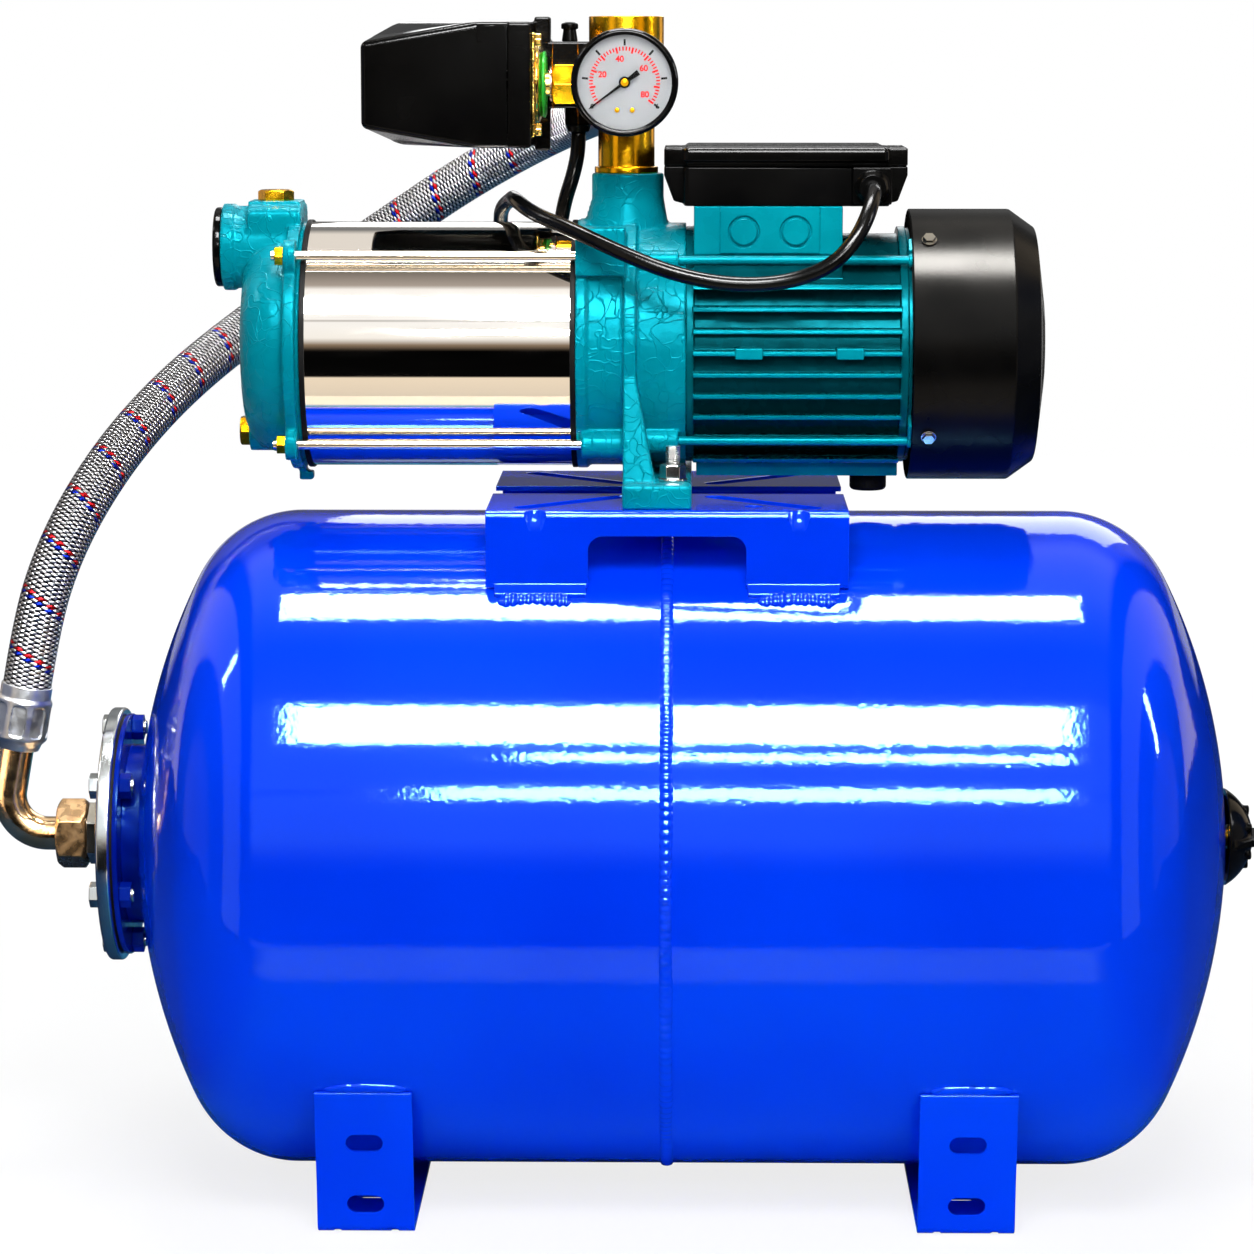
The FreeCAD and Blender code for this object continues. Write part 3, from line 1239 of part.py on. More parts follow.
def motor_body():
    """Finned extrusion with the cast terminal pedestal on top."""
    axis = (0, pump_axis_z)
    start, end = motor_start_x, motor_end_x
    core = cylinder("x", start, end, motor_core_radius, *axis)
    rings = [cylinder("x", start, start + motor_ring_length, motor_ring_radius, *axis),
             cylinder("x", end - motor_ring_length, end, motor_ring_radius, *axis)]
    fin_start, fin_end = start + motor_ring_length - 0.5, end - motor_ring_length + 0.5
    envelope = cylinder("x", fin_start, fin_end, motor_fin_radius, *axis)
    heights = [k * motor_fin_pitch for k in range(-motor_side_fins, motor_side_fins + 1)]
    heights.append(-motor_low_fin_drop)
    half = motor_fin_thickness / 2
    fins = []
    for rise in heights:
        z = pump_axis_z + rise
        fins.append(block(fin_start, fin_end, -motor_fin_radius, motor_fin_radius, z - half, z + half))
    belly = block(fin_start + 2, fin_end, -motor_belly_half_width, motor_belly_half_width,
                  pump_axis_z - motor_belly_drop, pump_axis_z - motor_belly_drop + motor_belly_thickness)
    channels = [cylinder("x", start - 1, end + 1, tie_rod_radius + 1.2, y, z) for y, z in rod_places]
    inner, outer = motor_rod_corner, motor_fin_radius + 1
    for sy in (-1, 1):
        for sz in (-1, 1):
            y0, y1 = sorted((sy * inner, sy * outer))
            z0, z1 = sorted((sz * inner, sz * outer))
            channels.append(block(fin_start, fin_end, y0, y1, pump_axis_z + z0, pump_axis_z + z1))
    finned = fins[0].multiFuse(fins[1:]).common(envelope).cut(channels)
    box_bottom = pump_axis_z + pedestal_rise
    step = pedestal_panel_depth
    plain = block(pedestal_x[0], pedestal_x[1], -pedestal_half_width + step, pedestal_half_width - step,
                  pump_axis_z + 40, box_bottom)
    panel = block(pedestal_panel_x[0], pedestal_panel_x[1], -pedestal_half_width, pedestal_half_width,
                  pump_axis_z + 50, box_bottom)
    bosses = []
    for x in nameplate_boss_x:
        bosses.append(block(x - nameplate_boss_half_length, x + nameplate_boss_half_length,
                            -nameplate_boss_reach, -motor_core_radius + 3,
                            pump_axis_z - nameplate_boss_half_height, pump_axis_z + nameplate_boss_half_height))
    body = fuse([core] + rings + [finned, belly, plain, panel] + bosses)
    knockouts = []
    studs = []
    for x in knockout_x:
        z = pump_axis_z + knockout_rise
        face = -pedestal_half_width
        knockouts.append(cylinder("y", face - 1, face + knockout_depth, knockout_radius, x, z))
        disc = knockout_radius - knockout_ring
        studs.append(cone("y", face - 0.2, face + knockout_depth / 2, 0.8, disc, x, z))
        studs.append(cylinder("y", face + knockout_depth / 2 - 0.1, face + knockout_depth + 0.2, disc, x, z))
    body = body.cut(knockouts + channels[:len(rod_places)] + [
        cylinder("x", start - 1, end + 1, motor_bore_radius, *axis),
        block(pedestal_x[0] + 6, pedestal_x[1] - 6, -pedestal_half_width + 8, pedestal_half_width - 8,
              pump_axis_z + motor_bore_radius - 4, box_bottom + 1)])
    return fuse([body] + studs)


# On the front the screws sit a little above the 45 degree lines, on the back a little below
cover_screw_angles = [45 + 90 * k - cover_screw_turn for k in range(4)]


def motor_end_shield():
    """Rear shield with the bearing seat, and four arms that carry the fan cover."""
    axis = (0, pump_axis_z)
    start, end = motor_end_x, motor_end_x + shield_thickness
    disc = cylinder("x", start, end, motor_ring_radius - 1, *axis)
    hub = cylinder("x", rear_bearing_x, end, bearing_hub_radius, *axis)
    parts = [disc, hub]
    for y, z in rod_places:
        parts.append(cylinder("x", start, end, tie_rod_radius + 1.2, y, z))
    arm_top = fan_cover_radius - fan_cover_wall - 0.2
    for angle in cover_screw_angles:
        arm = block(start, start + shield_arm_length, -shield_arm_half_width, shield_arm_half_width,
                    arm_top - 10, arm_top - 0.6)
        arm.rotate(V(0, 0, 0), V(1, 0, 0), angle)
        arm.translate(V(0, 0, pump_axis_z))
        parts.append(arm)
    shield = fuse(parts)
    cuts = [cylinder("x", rear_bearing_x - 1, rear_bearing_x + bearing_width, bearing_radius, *axis),
            cylinder("x", rear_bearing_x, end + 1, motor_shaft_radius + 1, *axis)]
    cuts += [cylinder("x", start - 1, end - 1, tie_rod_radius + bolt_hole_gap, y, z) for y, z in rod_places]
    cuts += radial_bars(cover_screw_radius + bolt_hole_gap, arm_top - 12, arm_top + 2)
    return shield.cut(cuts)


def radial_bars(radius, inner, outer):
    """Bars that point outward from the pump axis, at the cover screws' four places."""
    bars = []
    for angle in cover_screw_angles:
        a = math.radians(angle)
        direction = V(0, math.cos(a), math.sin(a))
        bars.append(Part.makeCylinder(radius, outer - inner,
                                      V(cover_screw_x, 0, pump_axis_z) + direction * inner, direction))
    return bars


def cooling_fan():
    """Fan wheel with straight radial blades, on the shaft's rear end."""
    start, end = fan_x, fan_x + fan_width
    hub = cylinder("x", start, end, fan_hub, 0, pump_axis_z)
    disc = cylinder("x", start, start + fan_disc, fan_radius - 14, 0, pump_axis_z)
    blades = []
    for k in range(fan_blades):
        blade = prism([(start, fan_hub - 2), (start, fan_radius - 4), (start + 4, fan_radius), (end, fan_radius),
                       (end, fan_hub + 18), (end - 5, fan_hub - 2)], "xz",
                      -fan_blade_half_thickness, fan_blade_half_thickness)
        blade.rotate(V(0, 0, 0), V(1, 0, 0), k * 360.0 / fan_blades)
        blade.translate(V(0, 0, pump_axis_z))
        blades.append(blade)
    return fuse([hub, disc] + blades).cut(cylinder("x", start - 1, end + 1, fan_shaft_radius, 0, pump_axis_z))


def fan_cover():
    """Moulded fan cover: drum, tapered shoulder, and a domed end with a ring-slot grille."""
    w = fan_cover_wall
    x0, x1, x2, x3 = fan_cover_x, fan_cover_straight_x, fan_cover_taper_x, fan_cover_end_x
    r0, r2, r3 = fan_cover_radius, fan_cover_taper_radius, fan_cover_end_radius
    shell = lathe([(x0, r0 - w), (x0, r0), (x1, r0), (x2, r2), (x3, r3), (x3, 0), (x3 - w, 0),
                   (x3 - w, r3), (x2 - w, r2 - w), (x1 - w / 2, r0 - w)], "x", 0, pump_axis_z)
    spokes = []
    for k in range(grille_spokes):
        spoke = block(x1, x3 + 1, -grille_spoke_half_width, grille_spoke_half_width, 0, r0)
        spoke.rotate(V(0, 0, 0), V(1, 0, 0), k * 360.0 / grille_spokes)
        spoke.translate(V(0, 0, pump_axis_z))
        spokes.append(spoke)
    slots = []
    for radius in grille_rings:
        ring = tube("x", x1 + w, x3 + 1, radius + grille_slot_half_width, radius - grille_slot_half_width,
                    0, pump_axis_z)
        slots.append(ring.cut(spokes))
    return shell.cut(slots + radial_bars(cover_screw_radius + bolt_hole_gap, r0 - 5, r0 + 2))


def fan_cover_screws():
    """Hexagon screws with a pressed-on washer, pointing at the pump axis."""
    seat, x = fan_cover_radius, cover_screw_x
    screws = []
    for angle in cover_screw_angles:
        screw = fuse([cylinder("z", seat, seat + cover_screw_washer, cover_screw_head, x, 0),
                      hexagon("z", seat + cover_screw_washer / 2, seat + cover_screw_head_height,
                              cover_screw_flats, x, 0),
                      cylinder("z", seat - 9, seat + cover_screw_washer / 2, cover_screw_radius, x, 0)])
        screw.rotate(V(0, 0, 0), V(1, 0, 0), angle)
        screw.translate(V(0, 0, pump_axis_z))
        screws.append(screw)
    return screws


def motor_tie_rods():
    return [cylinder("x", bracket_end_x - 16, motor_end_x + shield_thickness - 1.5, tie_rod_radius, y, z)
            for y, z in rod_places]


def stator():
    return lathe([(stator_start_x - winding_reach, winding_inner), (stator_start_x - winding_reach, winding_outer),
                  (stator_start_x, winding_outer), (stator_start_x, motor_bore_radius - stator_gap),
                  (stator_end_x, motor_bore_radius - stator_gap), (stator_end_x, winding_outer),
                  (stator_end_x + winding_reach - 4, winding_outer),
                  (stator_end_x + winding_reach - 4, winding_inner), (stator_end_x, winding_inner),
                  (stator_end_x, stator_bore), (stator_start_x, stator_bore), (stator_start_x, winding_inner)],
                 "x", 0, pump_axis_z)


def rotor_core():
    return tube("x", stator_start_x + 1, stator_end_x - 1, rotor_radius, motor_shaft_radius, 0, pump_axis_z)


def rubber_bumper():
    """Rubber foot under the motor's rear end, level with the pump's own foot."""
    top = pump_axis_z - motor_belly_drop
    bottom = saddle_top_z + bumper_lift
    return lathe([(bottom, 0), (bottom, bumper_radius - 1.5), (bottom + 1.5, bumper_radius),
                  (top, bumper_radius), (top, 0)], "z", bumper_x, 0)


# Terminal box
box_bottom_z = pump_axis_z + pedestal_rise
box_rim_z = box_bottom_z + box_base_height


def upright_edges(shape):
    """Vertical edges at the outer corners of a block."""
    box = shape.BoundBox
    return [e for e in shape.Edges if abs(e.CenterOfMass.z - (box.ZMin + box.ZMax) / 2) < 0.01]


def terminal_box_base():
    x0, x1 = box_x
    outer = block(x0, x1, -box_half_width, box_half_width, box_bottom_z, box_rim_z)
    outer = outer.makeFillet(box_corner, upright_edges(outer))
    ears = []
    for x, side in ((x0, -1), (x1, 1)):
        tip = x + side * box_ear
        ears.append(prism([(x - side * 3, box_rim_z), (tip, box_rim_z), (tip, box_bottom_z + box_ear_taper),
                           (tip - side * box_ear_slope, box_bottom_z + box_ear_root),
                           (x - side * 3, box_bottom_z)], "xz", -box_ear_half_width, box_ear_half_width))
    boss = block(gland_x - gland_boss_half, gland_x + gland_boss_half, -box_half_width - gland_boss_reach,
                 -box_half_width + 3, box_bottom_z + 1, box_rim_z)
    shell = fuse([outer] + ears + [boss])
    cavity = block(x0 + box_wall, x1 - box_wall, -box_half_width + box_wall, box_half_width - box_wall,
                   box_bottom_z + box_wall, box_rim_z + 1)
    lead_hole = cylinder("y", -box_half_width - gland_boss_reach - 1, -box_half_width + 5,
                         lead_radius + 0.5, gland_x, gland_z)
    return shell.cut([cavity, lead_hole])


def terminal_box_lid():
    """Lid with a recessed neck that leaves a groove all round, and two screw ears."""
    x0, x1 = box_x
    neck_top = box_rim_z + box_groove_height
    top = neck_top + box_lid_height
    g = box_groove_depth
    neck = block(x0 + g, x1 - g, -box_half_width + g, box_half_width - g, box_rim_z, neck_top)
    plate = block(x0, x1, -box_half_width, box_half_width, neck_top, top)
    plate = plate.makeFillet(box_corner, upright_edges(plate))
    plate = plate.makeChamfer(2.0, [e for e in plate.Edges if abs(e.CenterOfMass.z - top) < 0.01])
    ears = [block(x0 - box_ear, x0 + 3, -box_ear_half_width, box_ear_half_width, box_rim_z, top - 1),
            block(x1 - 3, x1 + box_ear, -box_ear_half_width, box_ear_half_width, box_rim_z, top - 1)]
    lid = fuse([neck, plate] + ears)
    wells = []
    for x in (x0 - box_ear / 2, x1 + box_ear / 2):
        for y in (-box_ear_half_width + 7, box_ear_half_width - 7):
            wells.append(cylinder("z", top - 4, top, box_screw_radius + 0.6, x, y))
    return lid.cut(wells)


def cable_gland():
    """Round gland that clamps the motor lead where it leaves the terminal box."""
    seat = -box_half_width - gland_boss_reach
    nut_face = seat - gland_nut_length
    tip = nut_face - gland_tip_length
    return lathe([(seat, lead_radius), (seat, gland_radius), (nut_face + 1, gland_radius),
                  (nut_face, gland_radius - 1), (tip, gland_tip_radius), (tip, lead_radius - 1),
                  (tip + 1, lead_radius - 1), (tip + 1, lead_radius)], "y", gland_x, gland_z)


# The lead runs from the gland's tip to the lower entry of the pressure switch
lead_start_y = -box_half_width - gland_boss_reach - gland_nut_length - gland_tip_length
lead_line = carried(lead_route, (gland_x, lead_start_y, gland_z),
                    (lead_route[-1][0], lead_route[-1][1], chamber_z[0] - lead_drop))


# Controls
fitting_top_z = outlet_top_z + fitting_height
rear_port_z = hose_end.z


def five_way_fitting():
    """Brass five-way fitting: male foot, barrel, top socket, rear port, gauge and switch ports."""
    foot = outlet_top_z
    barrel_top = fitting_top_z - fitting_socket_length
    body = lathe([(foot - port_thread_length + 1, fitting_bore), (foot - port_thread_length + 1, fitting_male),
                  (foot, fitting_male), (foot, fitting_collar_radius),
                  (foot + fitting_collar_height, fitting_collar_radius),
                  (foot + fitting_collar_height, fitting_barrel_radius),
                  (barrel_top - fitting_cone_length, fitting_barrel_radius),
                  (barrel_top, fitting_socket_radius), (fitting_top_z, fitting_socket_radius),
                  (fitting_top_z, port_bore), (fitting_top_z - port_thread_length, port_bore),
                  (fitting_top_z - port_thread_length, fitting_bore)], "z", outlet_x, 0)
    rear = cylinder("y", 0, rear_port_reach, fitting_male, outlet_x, rear_port_z)
    rear_boss = cylinder("y", 0, rear_port_reach - 6, fitting_barrel_radius + 1.5, outlet_x, rear_port_z)
    side_boss = cylinder("x", outlet_x - 20, outlet_x, side_port_boss, 0, switch_z)
    side = cylinder("x", outlet_x - side_port_reach, outlet_x, side_port_radius, 0, switch_z)
    front_boss = cylinder("y", -27, 0, side_port_boss + 1, outlet_x, gauge_z)
    body = fuse([body, rear, rear_boss, side_boss, side, front_boss])
    return body.cut([cylinder("y", 0, rear_port_reach + 1, fitting_bore, outlet_x, rear_port_z),
                     cylinder("z", foot - port_thread_length, fitting_top_z - port_thread_length + 1,
                              fitting_bore, outlet_x, 0),
                     cylinder("x", outlet_x - side_port_reach - 1, outlet_x, 3.0, 0, switch_z),
                     cylinder("y", -28, 0, gauge_stem_radius + 0.2, outlet_x, gauge_z)])


def gauge_case():
    """Case with rolled bezel, threaded stem and hexagon."""
    front, back = gauge_front_y, gauge_back_y
    bezel_end = front + gauge_bezel_depth
    case = lathe([(back, 0), (back, gauge_case_radius - 3), (back - 3, gauge_case_radius),
                  (bezel_end, gauge_case_radius), (bezel_end, gauge_bezel_radius),
                  (front + 1.6, gauge_bezel_radius), (front, gauge_bezel_radius - 1.6),
                  (front + 0.4, gauge_window_radius), (gauge_dial_y, gauge_window_radius),
                  (gauge_dial_y, 0)], "y", outlet_x, gauge_z)
    hexa = hexagon("y", back, back + gauge_hex_length, gauge_hex_flats, outlet_x, gauge_z, 30)
    stem = cylinder("y", back, -16, gauge_stem_radius, outlet_x, gauge_z)
    return fuse([case, hexa, stem])


def gauge_dial():
    return cylinder("y", gauge_dial_y - gauge_dial_thickness, gauge_dial_y, gauge_window_radius - 0.2,
                    outlet_x, gauge_z)


def gauge_lens():
    return cylinder("y", gauge_lens_y, gauge_lens_y + gauge_lens_thickness, gauge_window_radius - 0.1,
                    outlet_x, gauge_z)


def gauge_needle():
    """Needle at zero, with its round hub and paddle tail."""
    face = gauge_dial_y - gauge_dial_thickness - fit_gap
    plate_y = face - needle_lift
    hub = cylinder("y", plate_y - needle_thickness, face, needle_hub_radius, 0, 0)
    a, b = needle_half_width, needle_tail_half_width
    blade = prism([(0, -a), (needle_length, -0.25), (needle_length, 0.25), (0, a),
                   (-needle_tail, b), (-needle_tail, -b)], "xz", plate_y - needle_thickness, plate_y)
    solid = fuse([hub, blade])
    solid.rotate(V(0, 0, 0), V(0, 1, 0), -needle_turn)
    solid.translate(V(outlet_x, 0, gauge_z))
    return solid


# Pressure switch

def hull_between(near, far, near_y, far_y):
    """Solid between two polygons in parallel planes, joined by flat or ruled faces."""
    def wire(points, y):
        corners = [V(x, y, z) for x, z in points]
        return Part.makePolygon(corners + [corners[0]])
    return Part.makeLoft([wire(near, near_y), wire(far, far_y)], True, True)


def switch_outline(end_half, shoulder_x, half, inset=0.0):
    left = switch_left_x + inset
    zc = switch_z
    return [(left, zc - end_half + inset), (shoulder_x, zc - half + inset), (switch_split_x, zc - half + inset),
            (switch_split_x, zc + half - inset), (shoulder_x, zc + half - inset), (left, zc + end_half - inset)]


def switch_cover():
    """Moulded cover whose near and far sides taper differently."""
    near = switch_outline(switch_near_end_half, switch_near_shoulder_x, switch_half_height)
    far = switch_outline(switch_far_end_half, switch_far_shoulder_x, switch_half_height)
    outer = hull_between(near, far, -switch_half_width, switch_half_width)
    w = switch_cover_wall
    near_in = switch_outline(switch_near_end_half, switch_near_shoulder_x, switch_half_height, w)
    far_in = switch_outline(switch_far_end_half, switch_far_shoulder_x, switch_half_height, w)
    inner = hull_between(near_in, far_in, -switch_half_width + w, switch_half_width - w)
    step = block(switch_near_shoulder_x, switch_split_x, -switch_half_width - switch_step, -switch_half_width + w,
                 switch_z - switch_half_height + switch_edge, switch_z + switch_half_height - switch_edge)
    step = step.makeChamfer(switch_step_edge, [e for e in upright_edges(step)
                                               if e.CenterOfMass.x < switch_near_shoulder_x + 1
                                               and e.CenterOfMass.y < -switch_half_width])
    return fuse([outer, step]).cut(inner)


def switch_base():
    """Base plate with the wiring chamber on its far side."""
    plate = block(switch_split_x, switch_base_x, -switch_half_width, switch_half_width + 4,
                  switch_z - switch_half_height, switch_z + switch_half_height)
    plate = plate.makeFillet(switch_edge, [e for e in plate.Edges
                                           if abs(e.CenterOfMass.x - (switch_split_x + switch_base_x) / 2) < 0.1])
    cheek = block(switch_base_x, cheek_x, cheek_y[0], cheek_y[1],
                  switch_z - cheek_half_height, switch_z + cheek_half_height)
    chamber = block(switch_base_x, chamber_x, cheek_y[0], cheek_y[1], chamber_z[0], chamber_z[1])
    pocket = block(switch_split_x - 1, switch_base_x - 3, -switch_half_width + 5, 10,
                   switch_z - switch_half_height + 6, switch_z + switch_half_height - 6)
    bore = cylinder("x", switch_split_x, switch_base_x + 1, piston_radius + fit_gap, 0, switch_z)
    return fuse([plate, cheek, chamber]).cut([pocket, bore])


def diaphragm_flange():
    """Zinc-plated diaphragm housing with its four screws and the stub for the swivel nut."""
    plate_end = switch_base_x + flange_plate_thickness
    dish_end = plate_end + flange_dish_depth
    hy, hz = flange_plate_half
    plate = block(switch_base_x, plate_end, -hy, 12, switch_z - hz, switch_z + hz)
    dish = lathe([(plate_end, 0), (plate_end, flange_dish_radius), (plate_end + 1.5, flange_dish_radius),
                  (dish_end, flange_dish_radius - 8), (dish_end, flange_stub_radius),
                  (dish_end + flange_stub_length, flange_stub_radius), (dish_end + flange_stub_length, 0)],
                 "x", 0, switch_z)
    housing = fuse([plate, dish])
    solids = [housing]
    y = -flange_screw_place[0]
    for side in (-1, 1):
        z = switch_z + side * (flange_screw_place[1] + 1)
        solids.append(hexagon("x", plate_end, plate_end + flange_screw_head, flange_screw_flats, y, z, 0))
    return solids


def swivel_nut():
    start = switch_base_x + flange_plate_thickness + flange_dish_depth + flange_stub_length
    end = start + swivel_nut_length
    nut = hexagon("x", start, end, swivel_nut_flats, 0, switch_z, 0)
    corner = swivel_nut_flats / math.sqrt(3)
    chamfer = lathe([(start, 0), (start, swivel_nut_flats / 2), (start + 1.6, corner + 0.1), (end - 1.6, corner + 0.1),
                     (end, swivel_nut_flats / 2), (end, 0)], "x", 0, switch_z)
    return nut.common(chamfer).cut(cylinder("x", start + 2, end + 1, side_port_radius + 0.2, 0, switch_z))


def switch_glands():
    """Cable entries of the wiring chamber: the lower one holds the lead, the upper is blanked."""
    x, y, bottom = lead_line[-1]
    low = lathe([(bottom, 0), (bottom, low_gland_tip), (bottom + 4, low_gland_radius - 0.5),
                 (bottom + 4, low_gland_radius), (chamber_z[0], low_gland_radius), (chamber_z[0], 0)], "z", x, y)
    top = chamber_z[1]
    high = lathe([(top, 0), (top, high_gland_radius), (top + high_gland_height - 4, high_gland_radius - 1),
                  (top + high_gland_height - 4, high_gland_radius + 0.3),
                  (top + high_gland_height - 1, high_gland_radius + 0.3), (top + high_gland_height, 2.5),
                  (top + high_gland_height, 0)], "z", x - 5, y)
    return [low, high]


def switch_piston():
    """Pusher that carries the diaphragm's force to the lever."""
    end = switch_base_x - fit_gap
    start = end - piston_length
    return lathe([(start, 0), (start, piston_tip_radius), (start + piston_tip_length, piston_radius),
                  (end, piston_radius), (end, 0)], "x", 0, switch_z)


def switch_lever():
    """Sprung lever inside the cover, hinged on its pin, with the range spring on it."""
    face = switch_base_x - fit_gap - piston_length - lever_gap
    back = face - lever_thickness
    plate = block(back, face, -lever_half_width, lever_half_width, switch_z + lever_low_z, switch_z + lever_pivot_z)
    pin = cylinder("y", -lever_half_width - 2, lever_half_width + 2, lever_pin_radius,
                   (back + face) / 2, switch_z + lever_pivot_z)
    pitch = spring_length / spring_turns
    helix = Part.makeHelix(pitch, spring_length, spring_radius)
    section = Part.Wire(Part.makeCircle(spring_wire, V(spring_radius, 0, 0), V(0, 1, 0)))
    coil = Part.Wire(helix).makePipeShell([section], True, True)
    coil.rotate(V(0, 0, 0), V(0, 1, 0), -90)
    coil.translate(V(back + spring_wire * 0.4, 0, switch_z))
    return fuse([plate, pin, coil])


save("tank_shell_left", tank_half(-1, left_straight, neck_radius))
save("tank_shell_right", tank_half(1, right_straight, valve_hole))
save("tank_weld_seam", seam())
save("neck_flange", neck_flange())
save("counter_flange", counter_flange())
save("flange_bolts", flange_bolts())
save("flange_nuts", flange_nuts())
save("membrane", membrane())
save("air_valve_body", air_valve_body())
save("air_valve_core", air_valve_core())
save("air_valve_cap", air_valve_cap())
front_saddle = saddle_half()
save("saddle_front", front_saddle)
save("saddle_rear", front_saddle.mirror(V(0, 0, 0), V(0, 1, 0)))
save("tank_foot_left", tank_foot(-foot_offset))
save("tank_foot_right", tank_foot(foot_offset))
save("hose_elbow", elbow())
save("hose_nuts", [union_nut(False), union_nut(True)])
save("hose_ferrules", [ferrule(hose_start, hose_rise), ferrule(hose_end, V(0, 1, 0), tail=True)])
save("braided_hose", cord(hose_line, hose_radius))
save("suction_cover", suction_cover())
save("suction_cap", suction_cap())
save("fill_plug", fill_plug())
save("drain_plug", drain_plug())
save("pump_sleeve", tube("x", sleeve_start_x, sleeve_end_x, sleeve_radius, sleeve_radius - sleeve_wall,
                         0, pump_axis_z))
save("sleeve_gaskets", gaskets())
save("tie_studs", tie_studs())
save("tie_stud_nuts", tie_stud_nuts())
save("pump_bracket", pump_bracket())
save("foot_bolts", foot_bolts())
save("foot_nuts", foot_nuts())
save("impellers", impellers())
save("diffusers", diffusers())
save("pump_shaft", pump_shaft())
save("mechanical_seal", mechanical_seal())
save("ball_bearings", ball_bearings())
save("stator", stator())
save("rotor_core", rotor_core())
save("motor_body", motor_body())
save("motor_end_shield", motor_end_shield())
save("motor_tie_rods", motor_tie_rods())
save("cooling_fan", cooling_fan())
save("fan_cover", fan_cover())
save("fan_cover_screws", fan_cover_screws())
save("rubber_bumper", rubber_bumper())
save("terminal_box_base", terminal_box_base())
save("terminal_box_lid", terminal_box_lid())
save("cable_gland", cable_gland())
save("motor_lead", cord(lead_line, lead_radius))
save("five_way_fitting", five_way_fitting())
save("gauge_case", gauge_case())
save("gauge_dial", gauge_dial())
save("gauge_lens", gauge_lens())
save("gauge_needle", gauge_needle())
save("switch_cover", switch_cover())
save("switch_base", switch_base())
save("diaphragm_flange", diaphragm_flange())
save("swivel_nut", swivel_nut())
save("switch_glands", switch_glands())
save("switch_piston", switch_piston())
save("switch_lever", switch_lever())
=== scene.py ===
import math

import bmesh
import bpy
from mathutils import Matrix, Vector, noise


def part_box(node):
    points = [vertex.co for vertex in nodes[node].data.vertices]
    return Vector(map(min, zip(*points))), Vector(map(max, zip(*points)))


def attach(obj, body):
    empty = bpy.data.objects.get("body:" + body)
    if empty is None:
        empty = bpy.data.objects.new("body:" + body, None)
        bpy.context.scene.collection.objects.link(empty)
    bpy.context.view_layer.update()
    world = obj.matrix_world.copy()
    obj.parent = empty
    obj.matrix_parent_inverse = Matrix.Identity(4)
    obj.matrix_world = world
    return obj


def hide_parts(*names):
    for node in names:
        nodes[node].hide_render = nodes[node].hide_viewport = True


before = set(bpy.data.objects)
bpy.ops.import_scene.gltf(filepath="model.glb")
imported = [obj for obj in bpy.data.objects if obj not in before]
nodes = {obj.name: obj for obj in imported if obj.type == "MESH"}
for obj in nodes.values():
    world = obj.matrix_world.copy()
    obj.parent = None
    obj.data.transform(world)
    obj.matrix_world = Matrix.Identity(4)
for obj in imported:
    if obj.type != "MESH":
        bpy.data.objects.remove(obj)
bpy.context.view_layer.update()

# Studio
# A pale table that ends half a metre in front of the pump, softboxes in front and overhead,
# and a dim room beyond the table's edge, which polished steel shows as a dark band.

def add_object(name, data):
    """Puts a mesh, a curve, a lamp or a camera into the scene."""
    thing = bpy.data.objects.new(name, data)
    bpy.context.scene.collection.objects.link(thing)
    return thing


def skin(name, verts, faces, smooth=True):
    """A new mesh object from its points and faces."""
    mesh = bpy.data.meshes.new(name)
    mesh.from_pydata(verts, [], faces)
    if smooth:
        mesh.shade_smooth()
    return add_object(name, mesh)


table_front, table_back, table_side = -0.5, 4.0, 3.5
table = skin("table_top", [(-table_side, table_front, 0), (table_side, table_front, 0),
                           (table_side, table_back, 0), (-table_side, table_back, 0)],
             [(0, 1, 2, 3)], smooth=False)


def feed(owner, socket, term):
    """Gives a socket a number, a colour or the result of another step."""
    if isinstance(term, bpy.types.NodeSocket):
        owner.node_tree.links.new(term, socket)
    else:
        socket.default_value = (*term, 1) if socket.type == "RGBA" else term


def paint_node(owner, kind, inputs=None, **values):
    """A node of a material or of the room, with its own properties and its inputs set."""
    node = owner.node_tree.nodes.new("ShaderNode" + kind)
    for key, value in values.items():
        setattr(node, key, value)
    for key, term in (inputs or {}).items():
        feed(owner, node.inputs[key], term)
    return node


def reckon(owner, operation, *terms):
    """One step of arithmetic; its terms are numbers or other steps."""
    return paint_node(owner, "Math", dict(enumerate(terms)), operation=operation).outputs[0]


def spread(owner, value, low, high, start=0.35, end=0.65):
    """Maps a value from its usual reach onto a range of values."""
    reach = {"Value": value, "From Min": start, "From Max": end, "To Min": low, "To Max": high}
    return paint_node(owner, "MapRange", reach).outputs[0]


def blend_colours(owner, share, first, second):
    """A colour between two others; each is a tuple or another step."""
    return paint_node(owner, "Mix", {0: share, 6: first, 7: second}, data_type="RGBA").outputs[2]


def axes(owner, vector):
    """The three parts of a place or a direction."""
    return paint_node(owner, "SeparateXYZ", {0: vector}).outputs


def blend_shaders(owner, share, first, second):
    """A mix of two shaders."""
    return paint_node(owner, "MixShader", {0: share, 1: first.outputs[0], 2: second.outputs[0]})


table_white = bpy.data.materials.new("table_white")
table_white.use_nodes = True
table_white.node_tree.nodes.clear()
rays = paint_node(table_white, "LightPath").outputs
on_table = axes(table_white, paint_node(table_white, "NewGeometry").outputs["Position"])
